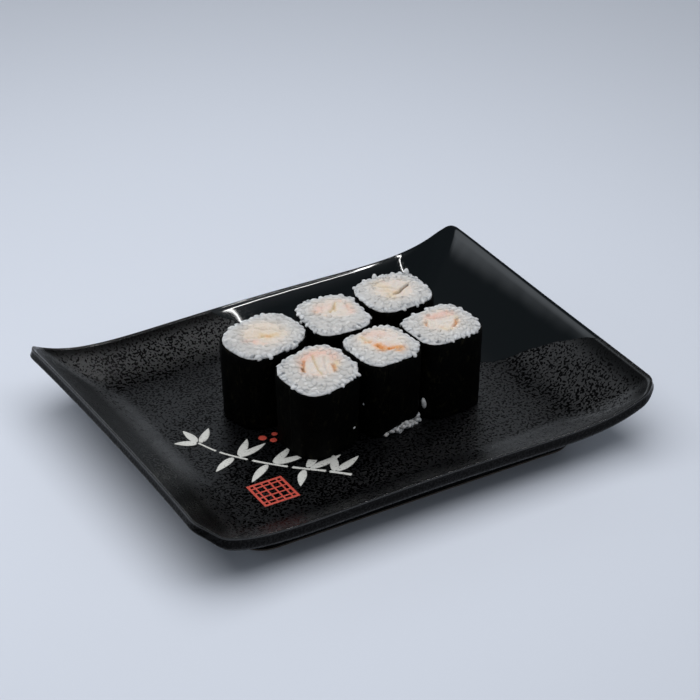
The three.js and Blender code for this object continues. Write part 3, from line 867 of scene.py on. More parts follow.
def smooth_line(points, count):
    """A smooth line through a few points."""
    points = np.asarray(points, float)
    knots = np.arange(len(points))
    places = np.linspace(0, len(points) - 1, count)
    padded = np.vstack([2 * points[0] - points[1], points, 2 * points[-1] - points[-2]])
    index = np.minimum(places.astype(int), len(points) - 2)
    t = (places - knots[index])[:, None]
    p0, p1, p2, p3 = (padded[index + k] for k in range(4))
    return 0.5 * (
        2 * p1 + (p2 - p0) * t + (2 * p0 - 5 * p1 + 4 * p2 - p3) * t**2 + (3 * p1 - p0 - 3 * p2 + p3) * t**3
    )


def make_sprig(sizes, finish):
    """A stem in short pieces with gaps at its joints, and its leaves."""
    base = sizes.floor_height
    line = smooth_line(STEM, STEM_STEPS + 1)
    cuts = [0, *STEM_JOINTS, 1]
    shapes = []
    for start, end in zip(cuts, cuts[1:]):
        piece = line[round(start * STEM_STEPS) + (1 if start else 0) : round(end * STEM_STEPS)]
        t = np.linspace(0, 1, len(piece))
        widths = (STEM_HALF_WIDTH - STEM_TAPER * start) * (1 + 0.35 * (2 * t - 1) ** 4)
        shapes.append(stroke(piece * MM, widths * MM, base, ENAMEL_HEIGHT * MM))
    shapes += [leaf(x, y, length, heading, base) for x, y, length, heading in LEAVES]
    points, faces = merge_shapes(shapes)
    return mesh_object("decor_sprig", points, faces, enamel_material("enamel_white", finish.decor_white))


def box_shape(x0, x1, y0, y1, base, height):
    """A low bar whose upper edges are bevelled."""

    def ring(inset, z):
        left, right, front, back = x0 + inset, x1 - inset, y0 + inset, y1 - inset
        return np.array([(left, front, z), (right, front, z), (right, back, z), (left, back, z)])

    rings = [ring(ENAMEL_BEVEL * MM, base + height), ring(0, base + height * 0.6), ring(0, base - height)]
    centre = ((x0 + x1) / 2, (y0 + y1) / 2)
    return capped_loft((*centre, base + height), rings, (*centre, base - height))


def make_lattice(sizes, finish):
    """A red square with a border and crossing bars."""
    base = sizes.floor_height
    x, y, half, border = (LATTICE[k] * MM for k in ("x", "y", "half", "border"))
    shapes = []
    height = ENAMEL_HEIGHT * MM
    for sign in (-1, 1):
        edge = sorted((sign * half, sign * (half - border)))
        shapes.append(box_shape(x - half, x + half, y + edge[0], y + edge[1], base, height))
        shapes.append(box_shape(x + edge[0], x + edge[1], y - half, y + half, base, height * 0.97))
    room = half - border
    for k in range(LATTICE["bars"]):
        at = room * ((2 * k + 1) / LATTICE["bars"] - 1)
        thin = LATTICE["bar"] * MM / 2
        shapes.append(box_shape(x + at - thin, x + at + thin, y - room, y + room, base, height * 0.94))
        shapes.append(box_shape(x - room, x + room, y + at - thin, y + at + thin, base, height * 0.91))
    points, faces = merge_shapes(shapes)
    return mesh_object(
        "decor_lattice", points, faces, enamel_material("enamel_red", finish.decor_red), smooth=False
    )


def make_berries(sizes, finish):
    """Three low round domes."""
    base = sizes.floor_height
    turn = np.linspace(0, 2 * math.pi, 25)[:-1]
    shapes = []
    for x, y, radius in BERRIES:
        rings = []
        for slope in np.linspace(0.25, 1, 5) * math.pi / 2:
            reach = radius * math.sin(slope)
            plan = np.stack([x + reach * np.cos(turn), y + reach * np.sin(turn)], 1)
            height = base + ENAMEL_HEIGHT * MM * math.cos(slope)
            rings.append(np.column_stack([plan * MM, np.full(len(turn), height)]))
        top = (x * MM, y * MM, base + ENAMEL_HEIGHT * MM)
        shapes.append(capped_loft(top, rings, (x * MM, y * MM, base - 0.1 * MM)))
    points, faces = merge_shapes(shapes)
    return mesh_object("decor_berries", points, faces, enamel_material("enamel_berry", finish.decor_red))


def enamel_material(name, base):
    """Slightly worn enamel printed on the glaze, with pinholes that let the dark glaze through."""
    material, tree, shader = new_material(name, base)
    where = place(tree)
    worn = step_between(tree, noise_field(tree, where, 1700, 2), 0.6, 0.68)
    uneven = noise_field(tree, where, 240, 3)
    shade = blend_colours(tree, uneven, [c * 0.86 for c in base], [min(1, c * 1.1) for c in base])
    through = combine(tree, "MULTIPLY", worn, 0.7)
    shade = blend_colours(tree, through, shade, [c * 0.2 for c in base])
    normal = bump(tree, uneven, 0.0001, 0.4)
    set_inputs(tree, shader, {"Base Color": shade, "Roughness": ENAMEL_ROUGHNESS, "Normal": normal})
    return material


# The rolls
def outline_radius(roll, angle):
    """Radius of a roll's rounded-square outline in a direction."""
    turned = angle - math.radians(roll["turn"])
    across = abs(np.cos(turned) / (roll["half_x"] * MM)) ** roll["square"]
    along = abs(np.sin(turned) / (roll["half_y"] * MM)) ** roll["square"]
    return (across + along) ** (-1 / roll["square"])


def centre_of(roll):
    return np.array([roll["x"], roll["y"]]) * MM


def prawn_centre(roll):
    prawn = roll["prawn"]
    return centre_of(roll) + (prawn["right"] * RIGHT + prawn["back"] * BACK) * MM


class RollShape:
    """Turns places in a roll's cut into points of its leaning, tapering body."""

    def __init__(self, roll, plate, shared):
        self.roll = roll
        self.shared = shared
        self.seat = plate.floor_height + shared.seat_gap

    def cut(self, plan):
        return self.roll["top"] * MM + self.roll["slope"] * ((plan - centre_of(self.roll)) @ BACK)

    def at(self, plan, level, rise=0.0):
        """Points for plan places at the cut, brought down to a level from 0 at the foot to 1 at the cut."""
        plan = np.asarray(plan, float)
        level = np.asarray(level, float)
        centre = centre_of(self.roll)
        scale = 1 - self.shared.foot_taper * (1 - level)
        shift = self.roll["lean"] * MM * (1 - level)
        moved = centre + (plan - centre) * scale[..., None] + shift[..., None] * BACK
        height = self.seat + (self.cut(plan) - self.seat) * level + rise
        return np.concatenate([moved, np.broadcast_to(height[..., None], moved[..., :1].shape)], -1)

    def bulge(self, share):
        """Rise of the rice above the cut, from the prawn at 0 to the seaweed at 1."""
        return self.shared.dome * (1 - DOME_FALL * max(share, 0) ** 3)

    def outline(self, angle, inset):
        radius = outline_radius(self.roll, angle) - inset
        return centre_of(self.roll) + np.stack([radius * np.cos(angle), radius * np.sin(angle)], -1)

    def prawn_outline(self, angle, grow):
        prawn = self.roll["prawn"]
        broad, fine = PRAWN_RIPPLES
        ripple = broad * np.cos(prawn["lobes"] * angle + prawn["phase"])
        ripple += fine * np.cos((prawn["lobes"] + 2) * angle - prawn["phase"])
        across = (prawn["width"] / 2 * MM * (1 + ripple) + grow) * np.cos(angle)
        along = (prawn["depth"] / 2 * MM * (1 + ripple) + grow) * np.sin(angle)
        return prawn_centre(self.roll) + across[:, None] * RIGHT + along[:, None] * BACK

    def rice_between(self, count):
        """A function from a share, 0 at the prawn and 1 at the seaweed, to a ring of plan places."""
        angle = np.linspace(0, 2 * math.pi, count, endpoint=False)
        inner = self.prawn_outline(angle, self.shared.prawn_gap)
        towards_right = BACK_ANGLE - math.pi / 2
        gap = self.shared.seaweed_thickness + self.shared.rice_gap
        outer = self.outline(angle + towards_right, gap)
        return lambda share: inner + (outer - inner) * share


def lifted_edge(roll, angle):
    """How far the seaweed's lower edge is lifted at each angle, in metres."""
    if "lift" not in roll:
        return np.zeros_like(angle)
    turned = np.arccos(np.cos(angle - math.radians(roll["lift_at"])))
    away = turned / math.radians(roll["lift_spread"])
    return roll["lift"] * MM * np.maximum(0, 1 - away**4)


def make_seaweed(index, plate, shared, material):
    """One sheet of seaweed wrapped round a roll, with a free end that laps over its start."""
    roll = ROLLS[index]
    shape = RollShape(roll, plate, shared)
    seam = math.radians(roll["seam"])
    angle = seam + np.concatenate([[-0.012], np.linspace(0, 2 * math.pi, SEAWEED_STEPS, endpoint=False)])
    past = (angle - seam) % (2 * math.pi)
    lap = shared.seaweed_overlap * (1 - smooth_step(past, shared.overlap_angle * 0.6, shared.overlap_angle))
    lap[0] = 0
    lift = lifted_edge(roll, angle)
    round_about = np.stack([np.cos(angle), np.sin(angle), np.zeros_like(angle)], 1)
    ragged = noise_at(round_about, 7, index) + 0.6 * noise_at(round_about, 19, index + 5)

    def ring(level, inset):
        plan = shape.outline(angle, inset - lap * (inset == 0))
        reach = roll["top"] * MM - shape.seat
        lowest = (lift + shared.seaweed_ragged * (0.5 + 0.5 * ragged)) / reach
        points = shape.at(plan, lowest + (1 - lowest) * level)
        points[:, 2] += shared.seaweed_ragged * ragged * level**8 * 0.7
        wrinkle = noise_at(points / MM, 0.24, index * 3) + 0.45 * noise_at(points / MM, 0.75, index)
        pinch = PINCH * MM * smooth_step(level, PINCH_START, 1)
        points[:, :2] += round_about[:, :2] * (shared.seaweed_wrinkle * wrinkle - pinch)[:, None]
        return points

    levels = np.linspace(0, 1, SEAWEED_LEVELS)
    rings = [ring(level, shared.seaweed_thickness) for level in levels]
    rings += [ring(level, 0) for level in levels[::-1]]
    points, faces = closed_loft(rings)
    return mesh_object(f"nori_sheet_{index + 1}", points, faces, material)


def seaweed_material(finish):
    """Near-black pressed seaweed: fibres, thin greenish spots and a faint sheen."""
    material, tree, shader = new_material("seaweed_sheet", finish.seaweed)
    where = place(tree)
    stretched = node(tree, "ShaderNodeMapping", {"Vector": where, "Scale": (1, 1, 0.45)}).outputs["Vector"]
    fibres = noise_field(tree, stretched, 900, 4, 0.65, 0.8)
    blotches = noise_field(tree, where, 190, 3)
    spots = step_between(tree, fibres, 0.52, 0.68)
    thin = combine(tree, "MULTIPLY", spots, step_between(tree, blotches, 0.42, 0.62))
    inputs = {
        "Base Color": blend_colours(tree, thin, finish.seaweed, finish.seaweed_pale),
        "Roughness": blend_numbers(tree, fibres, *SEAWEED_ROUGHNESS),
        "Specular IOR Level": 0.06,
        "Normal": bump(tree, combine(tree, "ADD", fibres, blotches), 0.00018, 0.7),
    }
    set_inputs(tree, shader, inputs)
    return material


# The rice
def rice_core(index, plate, shared, rice, finish, material):
    """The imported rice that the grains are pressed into, from the plate up to a little over the
    cut's dome."""
    shape = RollShape(ROLLS[index], plate, shared)
    between = shape.rice_between(RICE_STEPS)
    lump, waves = CORE_LUMPS
    rings = [shape.at(between(0), level) for level in np.linspace(0, 0.97, 12)]
    for share in np.linspace(0, 1, 22):
        points = shape.at(between(share), np.ones(RICE_STEPS), shape.bulge(share) + rice.core_raised)
        points[:, 2] += lump * MM * noise_at(points / MM, waves, index)
        rings.append(points)
    rings += [shape.at(between(1), level) for level in np.linspace(0.97, 0, 12)]
    points, faces = closed_loft(rings)
    tint = rice_tint(index, points, finish, 0.5)
    return mesh_object(f"rice_core_{index + 1}", points, faces, material, attributes={"tint": tint})


def rice_tint(index, points, finish, shade):
    """Colour of the rice: painted cooler near the seaweed as its shade, and taking on the filling's tints
    beside it.
    """
    roll = ROLLS[index]
    prawn = roll["prawn"]
    plan = points[:, :2] - centre_of(roll)
    local = np.stack([plan @ RIGHT, plan @ BACK], -1) / MM
    to_edge = outline_radius(roll, np.arctan2(plan[:, 1], plan[:, 0])) - np.linalg.norm(plan, axis=1)
    # Painted shade: the rice is cooler near the seaweed.
    painted_edge_shade = 1 - smooth_step(to_edge, EDGE_SHADE_REACH[0] * MM, EDGE_SHADE_REACH[1] * MM)
    base = np.array(finish.rice) + (np.array(finish.rice_shaded_edge) - np.array(finish.rice)) * painted_edge_shade[:, None]
    half = np.array([prawn["width"], prawn["depth"]]) / 2
    away = np.linalg.norm((local - np.array([prawn["right"], prawn["back"]])) / half, axis=1)
    warm = WARM_SHARE * (1 - smooth_step(away, *WARM_REACH))
    base = base + (np.array(finish.flesh) - base) * warm[:, None]
    tint = filling_tint(local, base, FILLINGS[index], finish, index * SEED_STEP, TINT_ON_RICE)
    darkest, more = GRAIN_SHADES
    tint = tint * (darkest + more * np.reshape(shade, (-1, 1)))
    return np.column_stack([tint, np.ones(len(tint))])


def grain_bed(name, shape, low, high, sunk):
    """A ring-shaped surface that grains are scattered on, between two shares of the rice's width."""
    between = shape.rice_between(RICE_STEPS)
    rings = []
    for share in np.linspace(low, high, 9):
        rings.append(shape.at(between(share), np.ones(RICE_STEPS), shape.bulge(share) - sunk))
    faces = []
    for row in range(len(rings) - 1):
        faces += band(row * RICE_STEPS, (row + 1) * RICE_STEPS, RICE_STEPS)
    return mesh_object(name, np.concatenate(rings), faces, None)


def side_bed(name, shape):
    """A strip of the rice's side that the lifted seaweed leaves open."""
    roll = shape.roll
    spread = math.radians(roll["lift_spread"]) * 0.95
    angle = math.radians(roll["lift_at"]) + np.linspace(-spread, spread, 40)
    plan = shape.outline(angle, shape.shared.seaweed_thickness + shape.shared.rice_gap)
    reach = roll["top"] * MM - shape.seat
    rings = []
    for share in np.linspace(0, 1, 5):
        height = 0.3 * MM + lifted_edge(roll, angle) * share
        rings.append(shape.at(plan, height / reach))
    faces = []
    count = len(angle)
    for start in range(0, (len(rings) - 1) * count, count):
        faces += [(i, i + 1, i + 1 + count, i + count) for i in range(start, start + count - 1)]
    return mesh_object(name, np.concatenate(rings), faces, None)


def grain_tree():
    """A node tree that scatters bent, tilted rice grains over a surface."""
    tree = bpy.data.node_groups.new("rice_grains", "GeometryNodeTree")
    sockets = tree.interface
    sockets.new_socket("Bed", in_out="INPUT", socket_type="NodeSocketGeometry")
    for name in ("Spacing", "Half Length", "Half Width", "Half Height", "Bend", "Tilt", "Lift"):
        sockets.new_socket(name, in_out="INPUT", socket_type="NodeSocketFloat")
    sockets.new_socket("Seed", in_out="INPUT", socket_type="NodeSocketInt")
    sockets.new_socket("Material", in_out="INPUT", socket_type="NodeSocketMaterial")
    sockets.new_socket("Grains", in_out="OUTPUT", socket_type="NodeSocketGeometry")
    given = tree.nodes.new("NodeGroupInput").outputs
    places = {"Mesh": given["Bed"], "Distance Min": given["Spacing"], "Seed": given["Seed"]}
    spread = node(
        tree,
        "GeometryNodeDistributePointsOnFaces",
        {**places, "Density Max": MOST_GRAINS},
        distribute_method="POISSON",
    )
    on_bed = node(
        tree,
        "GeometryNodeInstanceOnPoints",
        {
            "Points": spread.outputs["Points"],
            "Instance": one_grain(tree, given),
            "Rotation": grain_turn(tree, given),
            "Scale": random_vector(tree, given["Seed"], 7, (0.72, 0.86, 0.86), (1.08, 1.16, 1.12)),
        },
    )
    shade = node(tree, "FunctionNodeRandomValue", {"Seed": given["Seed"]}, data_type="FLOAT")
    shaded = node(
        tree,
        "GeometryNodeStoreNamedAttribute",
        {"Geometry": on_bed.outputs["Instances"], "Name": "shade", "Value": shade.outputs[1]},
        data_type="FLOAT",
        domain="INSTANCE",
    )
    real = node(tree, "GeometryNodeRealizeInstances", {"Geometry": shaded.outputs["Geometry"]})
    finished = node(
        tree,
        "GeometryNodeSetMaterial",
        {"Geometry": real.outputs["Geometry"], "Material": given["Material"]},
    )
    tree.links.new(finished.outputs["Geometry"], tree.nodes.new("NodeGroupOutput").inputs["Grains"])
    return tree


def one_grain(tree, given):
    """A low-sided ellipsoid along X whose ends droop."""
    ball = node(tree, "GeometryNodeMeshUVSphere", {"Segments": 9, "Rings": 8, "Radius": 1.0})
    along_x = node(
        tree, "GeometryNodeTransform", {"Geometry": ball.outputs["Mesh"], "Rotation": (0, math.pi / 2, 0)}
    )
    half_sizes = {"X": given["Half Length"], "Y": given["Half Width"], "Z": given["Half Height"]}
    sizes = node(tree, "ShaderNodeCombineXYZ", half_sizes).outputs["Vector"]
    where = node(tree, "GeometryNodeInputPosition").outputs[0]
    axes = node(tree, "ShaderNodeSeparateXYZ", {"Vector": where}).outputs
    squared = combine(tree, "MULTIPLY", axes["X"], axes["X"])
    droop = combine(tree, "MULTIPLY", combine(tree, "MULTIPLY", squared, given["Bend"]), -1.0)
    down = node(tree, "ShaderNodeCombineXYZ", {"Z": droop}).outputs["Vector"]
    scaled = node(tree, "ShaderNodeVectorMath", {0: where, 1: sizes}, operation="MULTIPLY").outputs[0]
    placed = node(tree, "ShaderNodeVectorMath", {0: scaled, 1: down}, operation="ADD").outputs[0]
    geometry = along_x.outputs["Geometry"]
    bent = node(tree, "GeometryNodeSetPosition", {"Geometry": geometry, "Position": placed})
    smooth = node(tree, "GeometryNodeSetShadeSmooth", {"Geometry": bent.outputs["Geometry"]})
    return smooth.outputs["Geometry"]


def random_vector(tree, seed, shift, low, high):
    """A vector drawn between two others for each grain, with its own shift of the seed."""
    inputs = {0: low, 1: high, "Seed": combine(tree, "ADD", seed, float(shift))}
    return node(tree, "FunctionNodeRandomValue", inputs, data_type="FLOAT_VECTOR").outputs[0]


def grain_turn(tree, given):
    """Any heading, with a tilt up to the given one."""
    tilt = given["Tilt"]
    low = node(tree, "ShaderNodeCombineXYZ", {"X": -1.0, "Y": -1.0, "Z": 0.0}).outputs["Vector"]
    high = node(tree, "ShaderNodeCombineXYZ", {"X": 1.0, "Y": 1.0, "Z": 1.0}).outputs["Vector"]
    drawn = random_vector(tree, given["Seed"], 3, low, high)
    reach = node(tree, "ShaderNodeCombineXYZ", {"X": tilt, "Y": tilt, "Z": 2 * math.pi}).outputs["Vector"]
    angles = node(tree, "ShaderNodeVectorMath", {0: drawn, 1: reach}, operation="MULTIPLY")
    return node(tree, "FunctionNodeEulerToRotation", {"Euler": angles.outputs[0]}).outputs["Rotation"]


def scatter_grains(bed, tree, rice, spacing, tilt, scale, seed, material):
    """Scatters grains on a bed and returns them as a plain mesh; the bed is removed."""
    modifier = bed.modifiers.new("grains", "NODES")
    modifier.node_group = tree
    values = {
        "Spacing": spacing,
        "Half Length": rice.half_length * scale,
        "Half Width": rice.half_width * scale,
        "Half Height": rice.half_height * scale,
        "Bend": rice.bend,
        "Tilt": tilt,
        "Seed": seed,
        "Material": material,
    }
    for item in tree.interface.items_tree:
        if item.item_type == "SOCKET" and item.in_out == "INPUT" and item.name in values:
            modifier[item.identifier] = values[item.name]
    bpy.context.view_layer.update()
    evaluated = bed.evaluated_get(bpy.context.evaluated_depsgraph_get())
    mesh = bpy.data.meshes.new_from_object(evaluated)
    bpy.data.objects.remove(bed)
    return mesh


def make_grains(index, plate, shared, rice, finish, tree, material):
    """The grains that show in a roll's cut and round its edge, as one mesh."""
    shape = RollShape(ROLLS[index], plate, shared)
    seed = rice.seed + 10 * index
    cut_bed = grain_bed("bed_cut", shape, *CUT_BED, rice.sunk)
    edge_bed = grain_bed("bed_edge", shape, *EDGE_BED, rice.edge_sunk)
    beds = [
        (cut_bed, rice.spacing, rice.tilt, 1),
        (edge_bed, rice.edge_spacing, rice.edge_tilt, rice.edge_share),
    ]
    if "lift" in ROLLS[index]:
        beds.append((side_bed("bed_side", shape), rice.spacing * 0.5, rice.tilt, 1))
    meshes = [
        scatter_grains(bed, tree, rice, spacing, tilt, scale, seed + k, material)
        for k, (bed, spacing, tilt, scale) in enumerate(beds)
    ]
    points, faces, shades = join_meshes(meshes)
    loose = [loose_grain(rice, *place) for roll, *place in LOOSE_GRAINS if roll == index + 1]
    points, faces = merge_shapes([(points, faces), *loose])
    shades = np.concatenate([shades, np.full(len(points) - len(shades), 0.5)])
    tint = rice_tint(index, points, finish, shades)
    return mesh_object(f"rice_grains_{index + 1}", points, faces, material, attributes={"tint": tint})


def loose_grain(rice, at, half, heading, tilt):
    """An ellipsoid turned to its heading and tilted up."""
    share = min(1, half * MM / rice.half_length)
    turn = np.linspace(0, 2 * math.pi, 13)[:-1]
    rings = []
    for slope in np.linspace(0, math.pi, 11)[1:-1]:
        round_about = math.sin(slope) * share
        across = rice.half_width * round_about * np.cos(turn)
        up = rice.half_height * round_about * np.sin(turn)
        rings.append(np.column_stack([np.full(len(turn), -math.cos(slope) * half * MM), across, up]))
    points, faces = capped_loft((-half * MM, 0, 0), rings, (half * MM, 0, 0))
    turned = Euler((0, -math.radians(tilt), math.radians(heading))).to_matrix()
    return points @ np.array(turned).T + np.array(at) * MM, faces


def join_meshes(meshes):
    """The points, faces and shades of several meshes together; the meshes are removed."""
    shapes = []
    shades = []
    for mesh in meshes:
        points = np.zeros(len(mesh.vertices) * 3)
        mesh.vertices.foreach_get("co", points)
        shapes.append((points.reshape(-1, 3), [tuple(face.vertices) for face in mesh.polygons]))
        shade = np.zeros(len(mesh.vertices))
        mesh.attributes["shade"].data.foreach_get("value", shade)
        shades.append(shade)
        bpy.data.meshes.remove(mesh)
    points, faces = merge_shapes(shapes)
    return points, faces, np.concatenate(shades)


def rice_material(finish):
    """Moist translucent rice whose tint is carried by the mesh, with faint chalky patches."""
    material, tree, shader = new_material("boiled_rice", finish.rice)
    where = place(tree)
    tint = node(tree, "ShaderNodeAttribute", attribute_name="tint").outputs["Color"]
    chalk = step_between(tree, noise_field(tree, where, 380, 2), 0.45, 0.7, 0, 0.4)
    inputs = {
        "Base Color": blend_colours(tree, chalk, tint, CHALKY),
        "Roughness": RICE_ROUGHNESS,
        "Specular IOR Level": 0.4,
        "Subsurface Weight": 1.0,
        "Subsurface Radius": (1.0, 0.95, 0.9),
        "Subsurface Scale": 0.001,
        "Normal": bump(tree, noise_field(tree, where, 1500, 2), 0.00006, 0.4),
    }
    set_inputs(tree, shader, inputs)
    return material


# The prawn
def distance_to_line(plan, line):
    """Least distance of plan places from a line of points."""
    line = np.asarray(line, float)
    nearest = np.full(plan.shape[:-1], np.inf)
    for start, end in zip(line[:-1], line[1:]):
        along = end - start
        t = np.clip(((plan - start) @ along) / (along @ along), 0, 1)
        nearest = np.minimum(nearest, np.linalg.norm(plan - (start + t[..., None] * along), axis=-1))
    return nearest


def prawn_relief(local, filling, seed):
    """Height of the flesh over its plain dome, in millimetres: lumps, clefts and fibres."""
    flat = np.concatenate([local, np.zeros(local.shape[:-1] + (1,))], -1)
    height = sum(high * noise_at(flat, waves, seed + more) for high, waves, more in FLESH_LUMPS)
    stretched = flat * np.array([1, 0.35, 1])
    high, waves, more = FLESH_FIBRES
    height += high * noise_at(stretched, waves, seed + more)
    for line, depth in filling["clefts"]:
        height -= depth * np.exp(-((distance_to_line(local, line) / CLEFT_WIDTH) ** 2))
    return height


def filling_tint(local, base, filling, finish, seed, strong=1.0):
    """Colour at each place in a cut: the base colour with the filling's tints, darkened along the clefts as
    painted shade.
    """
    flat = np.concatenate([local, np.zeros(local.shape[:-1] + (1,))], -1)
    tint = np.broadcast_to(np.array(base), (*local.shape[:-1], 3)).copy()
    ragged = 1 + 0.35 * noise_at(flat, 0.8, seed + 13) + 0.25 * noise_at(flat, 2.1, seed + 17)
    for name, line, reach, strength in filling["tints"]:
        share = strong * strength * np.exp(-((distance_to_line(local, line) / (reach * ragged)) ** 2))
        tint += (np.array(getattr(finish, name)) - tint) * share[..., None]
    # Painted shade: the colour darkens along each cleft, more for deeper ones.
    for line, depth in filling["clefts"]:
        near = np.exp(-((distance_to_line(local, line) / CLEFT_SHADE_WIDTH) ** 2))
        shade = 0.16 * strong * depth * near
        tint *= 1 - shade[..., None]
    return tint


def make_prawn(index, plate, shared, finish, material):
    """The prawn that runs through a roll, its cut face lumpy and tinted."""
    roll = ROLLS[index]
    filling = FILLINGS[index]
    shape = RollShape(roll, plate, shared)
    angle = np.linspace(0, 2 * math.pi, PRAWN_STEPS, endpoint=False)
    outline = shape.prawn_outline(angle, 0.25 * MM)
    centre = prawn_centre(roll)
    middle = centre_of(roll)
    seed = index * SEED_STEP
    rings = []
    tints = []
    for share in np.linspace(0.02, 1, PRAWN_RINGS) ** 0.8:
        plan = centre + (outline - centre) * share
        local = np.stack([(plan - middle) @ RIGHT, (plan - middle) @ BACK], -1) / MM
        rise = shared.dome * (1.1 - 0.1 * share**6) + prawn_relief(local, filling, seed) * MM
        rings.append(shape.at(plan, np.ones(len(plan)), rise))
        tints.append(filling_tint(local, finish.flesh, filling, finish, seed))
    for level in (0.95, 0.8, 0.5, 0.2, 0):
        rings.append(shape.at(outline, np.full(len(angle), level)))
        tints.append(tints[PRAWN_RINGS - 1])
    top = rings[0].mean(0)
    bottom = shape.at(centre, 0)
    points, faces = capped_loft(top, rings, bottom)
    colours = np.concatenate([*tints, tints[0][:1], tints[-1][:1]])
    colours = np.column_stack([colours, np.ones(len(colours))])
    return mesh_object(f"prawn_{index + 1}_flesh", points, faces, material, attributes={"tint": colours})


def prawn_material(finish):
    """Moist flesh whose tint is carried by the mesh, with fine fibres."""
    material, tree, shader = new_material("prawn_flesh", finish.flesh)
    where = place(tree)
    tint = node(tree, "ShaderNodeAttribute", attribute_name="tint").outputs["Color"]
    fibres = noise_field(tree, where, 1400, 3, 0.6, 0.6)
    lighter = step_between(tree, fibres, 0.35, 0.7, 0, 0.28)
    inputs = {
        "Base Color": blend_colours(tree, lighter, tint, PALE_FIBRE),
        "Roughness": PRAWN_ROUGHNESS,
        "Subsurface Weight": 0.8,
        "Subsurface Radius": (1.0, 0.7, 0.5),
        "Subsurface Scale": 0.0007,
        "Normal": bump(tree, fibres, 0.00014, 0.7),
    }
    set_inputs(tree, shader, inputs)
    return material


# The stage
def direction(azimuth, elevation):
    """From the plate towards a place in the studio."""
    level = math.cos(elevation)
    return Vector((math.sin(azimuth) * level, -math.cos(azimuth) * level, math.sin(elevation)))


def aim(made, position, target):
    made.location = position
    made.rotation_euler = (Vector(target) - Vector(position)).to_track_quat("-Z", "Y").to_euler()
    bpy.context.scene.collection.objects.link(made)


def make_camera(stage):
    data = bpy.data.cameras.new("camera")
    data.lens = stage.lens
    data.sensor_width = 36
    data.clip_start = 0.05
    made = bpy.data.objects.new("camera", data)
    target = Vector((stage.target_x, stage.target_y, 0))
    aim(made, target + direction(stage.azimuth, stage.elevation) * stage.distance, target)
    bpy.context.scene.camera = made


def make_floor(finish):
    """A pale floor whose colour darkens a little away from the plate, a painted falloff of the light."""
    material, tree, shader = new_material("pale_floor", finish.floor)
    # Painted light: the colour is lighter near the plate and darker away from it, as the light falls off.
    away = node(tree, "ShaderNodeVectorMath", {0: place(tree), 1: FLOOR_PAINTED_CENTRE}, operation="DISTANCE")
    share = step_between(tree, away.outputs["Value"], *FLOOR_PAINTED_FADE)
    near, far = ([c * shade for c in finish.floor] for shade in FLOOR_PAINTED_LIGHT)
    shade = blend_colours(tree, share, near, far)
    set_inputs(
        tree, shader, {"Base Color": shade, "Roughness": FLOOR_ROUGHNESS, "Specular IOR Level": 0.2}
    )
    corners = [(x * FLOOR_REACH, y * FLOOR_REACH, 0) for x, y in ((-1, -1), (1, -1), (1, 1), (-1, 1))]
    mesh_object("floor", corners, [(0, 1, 2, 3)], material, smooth=False)


def make_panel(stage):
    """The broad light that hangs over the plate."""
    data = bpy.data.lights.new("panel", "AREA")
    data.shape = "RECTANGLE"
    data.size = stage.panel_length
    data.size_y = stage.panel_width
    data.energy = stage.panel_power
    made = bpy.data.objects.new("panel", data)
    made.location = (stage.panel_x, stage.panel_y, stage.panel_height)
    made.visible_glossy = False
    bpy.context.scene.collection.objects.link(made)


def make_lamp(stage):
    """A lamp with a thin glowing loop, which the gloss glaze mirrors."""
    glow = bpy.data.materials.new("lamp_glow")
    glow.use_nodes = True
    tree = glow.node_tree
    tree.nodes.clear()
    light = node(tree, "ShaderNodeEmission", {"Strength": stage.lamp_light})
    node(tree, "ShaderNodeOutputMaterial", {"Surface": light.outputs["Emission"]})
    rings = []
    for along, across, corner in LAMP_EDGES:
        plan, _ = rounded_rectangle(
            stage.lamp_length - along * MM, stage.lamp_width - across * MM, [corner * MM] * 4
        )
        plan = plan + np.array([stage.lamp_x, stage.lamp_y])
        rings.append(np.column_stack([plan, np.full(len(plan), stage.panel_height)]))
    count = len(rings[0])
    made = mesh_object("lamp", np.concatenate(rings), band(0, count, count), glow)
    made.visible_camera = False
    made.visible_diffuse = False


def make_world(stage):
    """A room that is pale low down, most of all behind the plate, a little dimmer right at the horizon,
    and dim overhead but for a soft glow at the front right."""
    world = bpy.data.worlds.new("studio")
    world.use_nodes = True
    tree = world.node_tree
    tree.nodes.clear()
    where = node(tree, "ShaderNodeTexCoord").outputs["Generated"]
    axes = node(tree, "ShaderNodeSeparateXYZ", {"Vector": where}).outputs
    behind = step_between(tree, axes["Y"], -0.2, 0.5, stage.front_light, stage.backdrop_light)
    behind = combine(tree, "MULTIPLY", behind, step_between(tree, axes["Z"], *HAZE_EDGE, HORIZON_SHARE, 1))
    overhead = step_between(tree, axes["Z"], *CEILING_EDGE)
    light = blend_numbers(tree, overhead, behind, stage.ceiling_light)
    towards = node(tree, "ShaderNodeVectorMath", {0: where, 1: GLOW_TOWARDS}, operation="DOT_PRODUCT")
    glow = step_between(tree, towards.outputs["Value"], *GLOW_EDGE, 0, stage.glow_light)
    light = combine(tree, "ADD", light, glow)
    background = node(tree, "ShaderNodeBackground", {"Color": (*SKY_TINT, 1), "Strength": light})
    node(tree, "ShaderNodeOutputWorld", {"Surface": background.outputs["Background"]})
    bpy.context.scene.world = world


# Operators
def settings(context):
    return context.scene.rolls_plate, context.scene.rolls_sizes, context.scene.rolls_finishes


def keep_piece(piece, slot, *nodes):
    """Puts a finished piece on the body in place of the solids it stands for; its slot is not used."""
    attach(piece, BODY)
    if nodes:
        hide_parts(*nodes)


class ROLLS_OT_plate(bpy.types.Operator):
    """Adds the stoneware plate with its two glazes"""

    bl_idname = "rolls.add_plate"
    bl_label = "Add plate"

    def execute(self, context):
        plate, _, finish = settings(context)
        keep_piece(make_plate(plate, finish), "glaze", "plate")
        return {"FINISHED"}


class ROLLS_OT_decor(bpy.types.Operator):
    """Adds the enamel sprig, lattice and berries on the plate"""

    bl_idname = "rolls.add_decor"
    bl_label = "Add decor"

    def execute(self, context):
        plate, _, finish = settings(context)
        for make in (make_sprig, make_lattice, make_berries):
            keep_piece(make(plate, finish), "glaze")
        return {"FINISHED"}


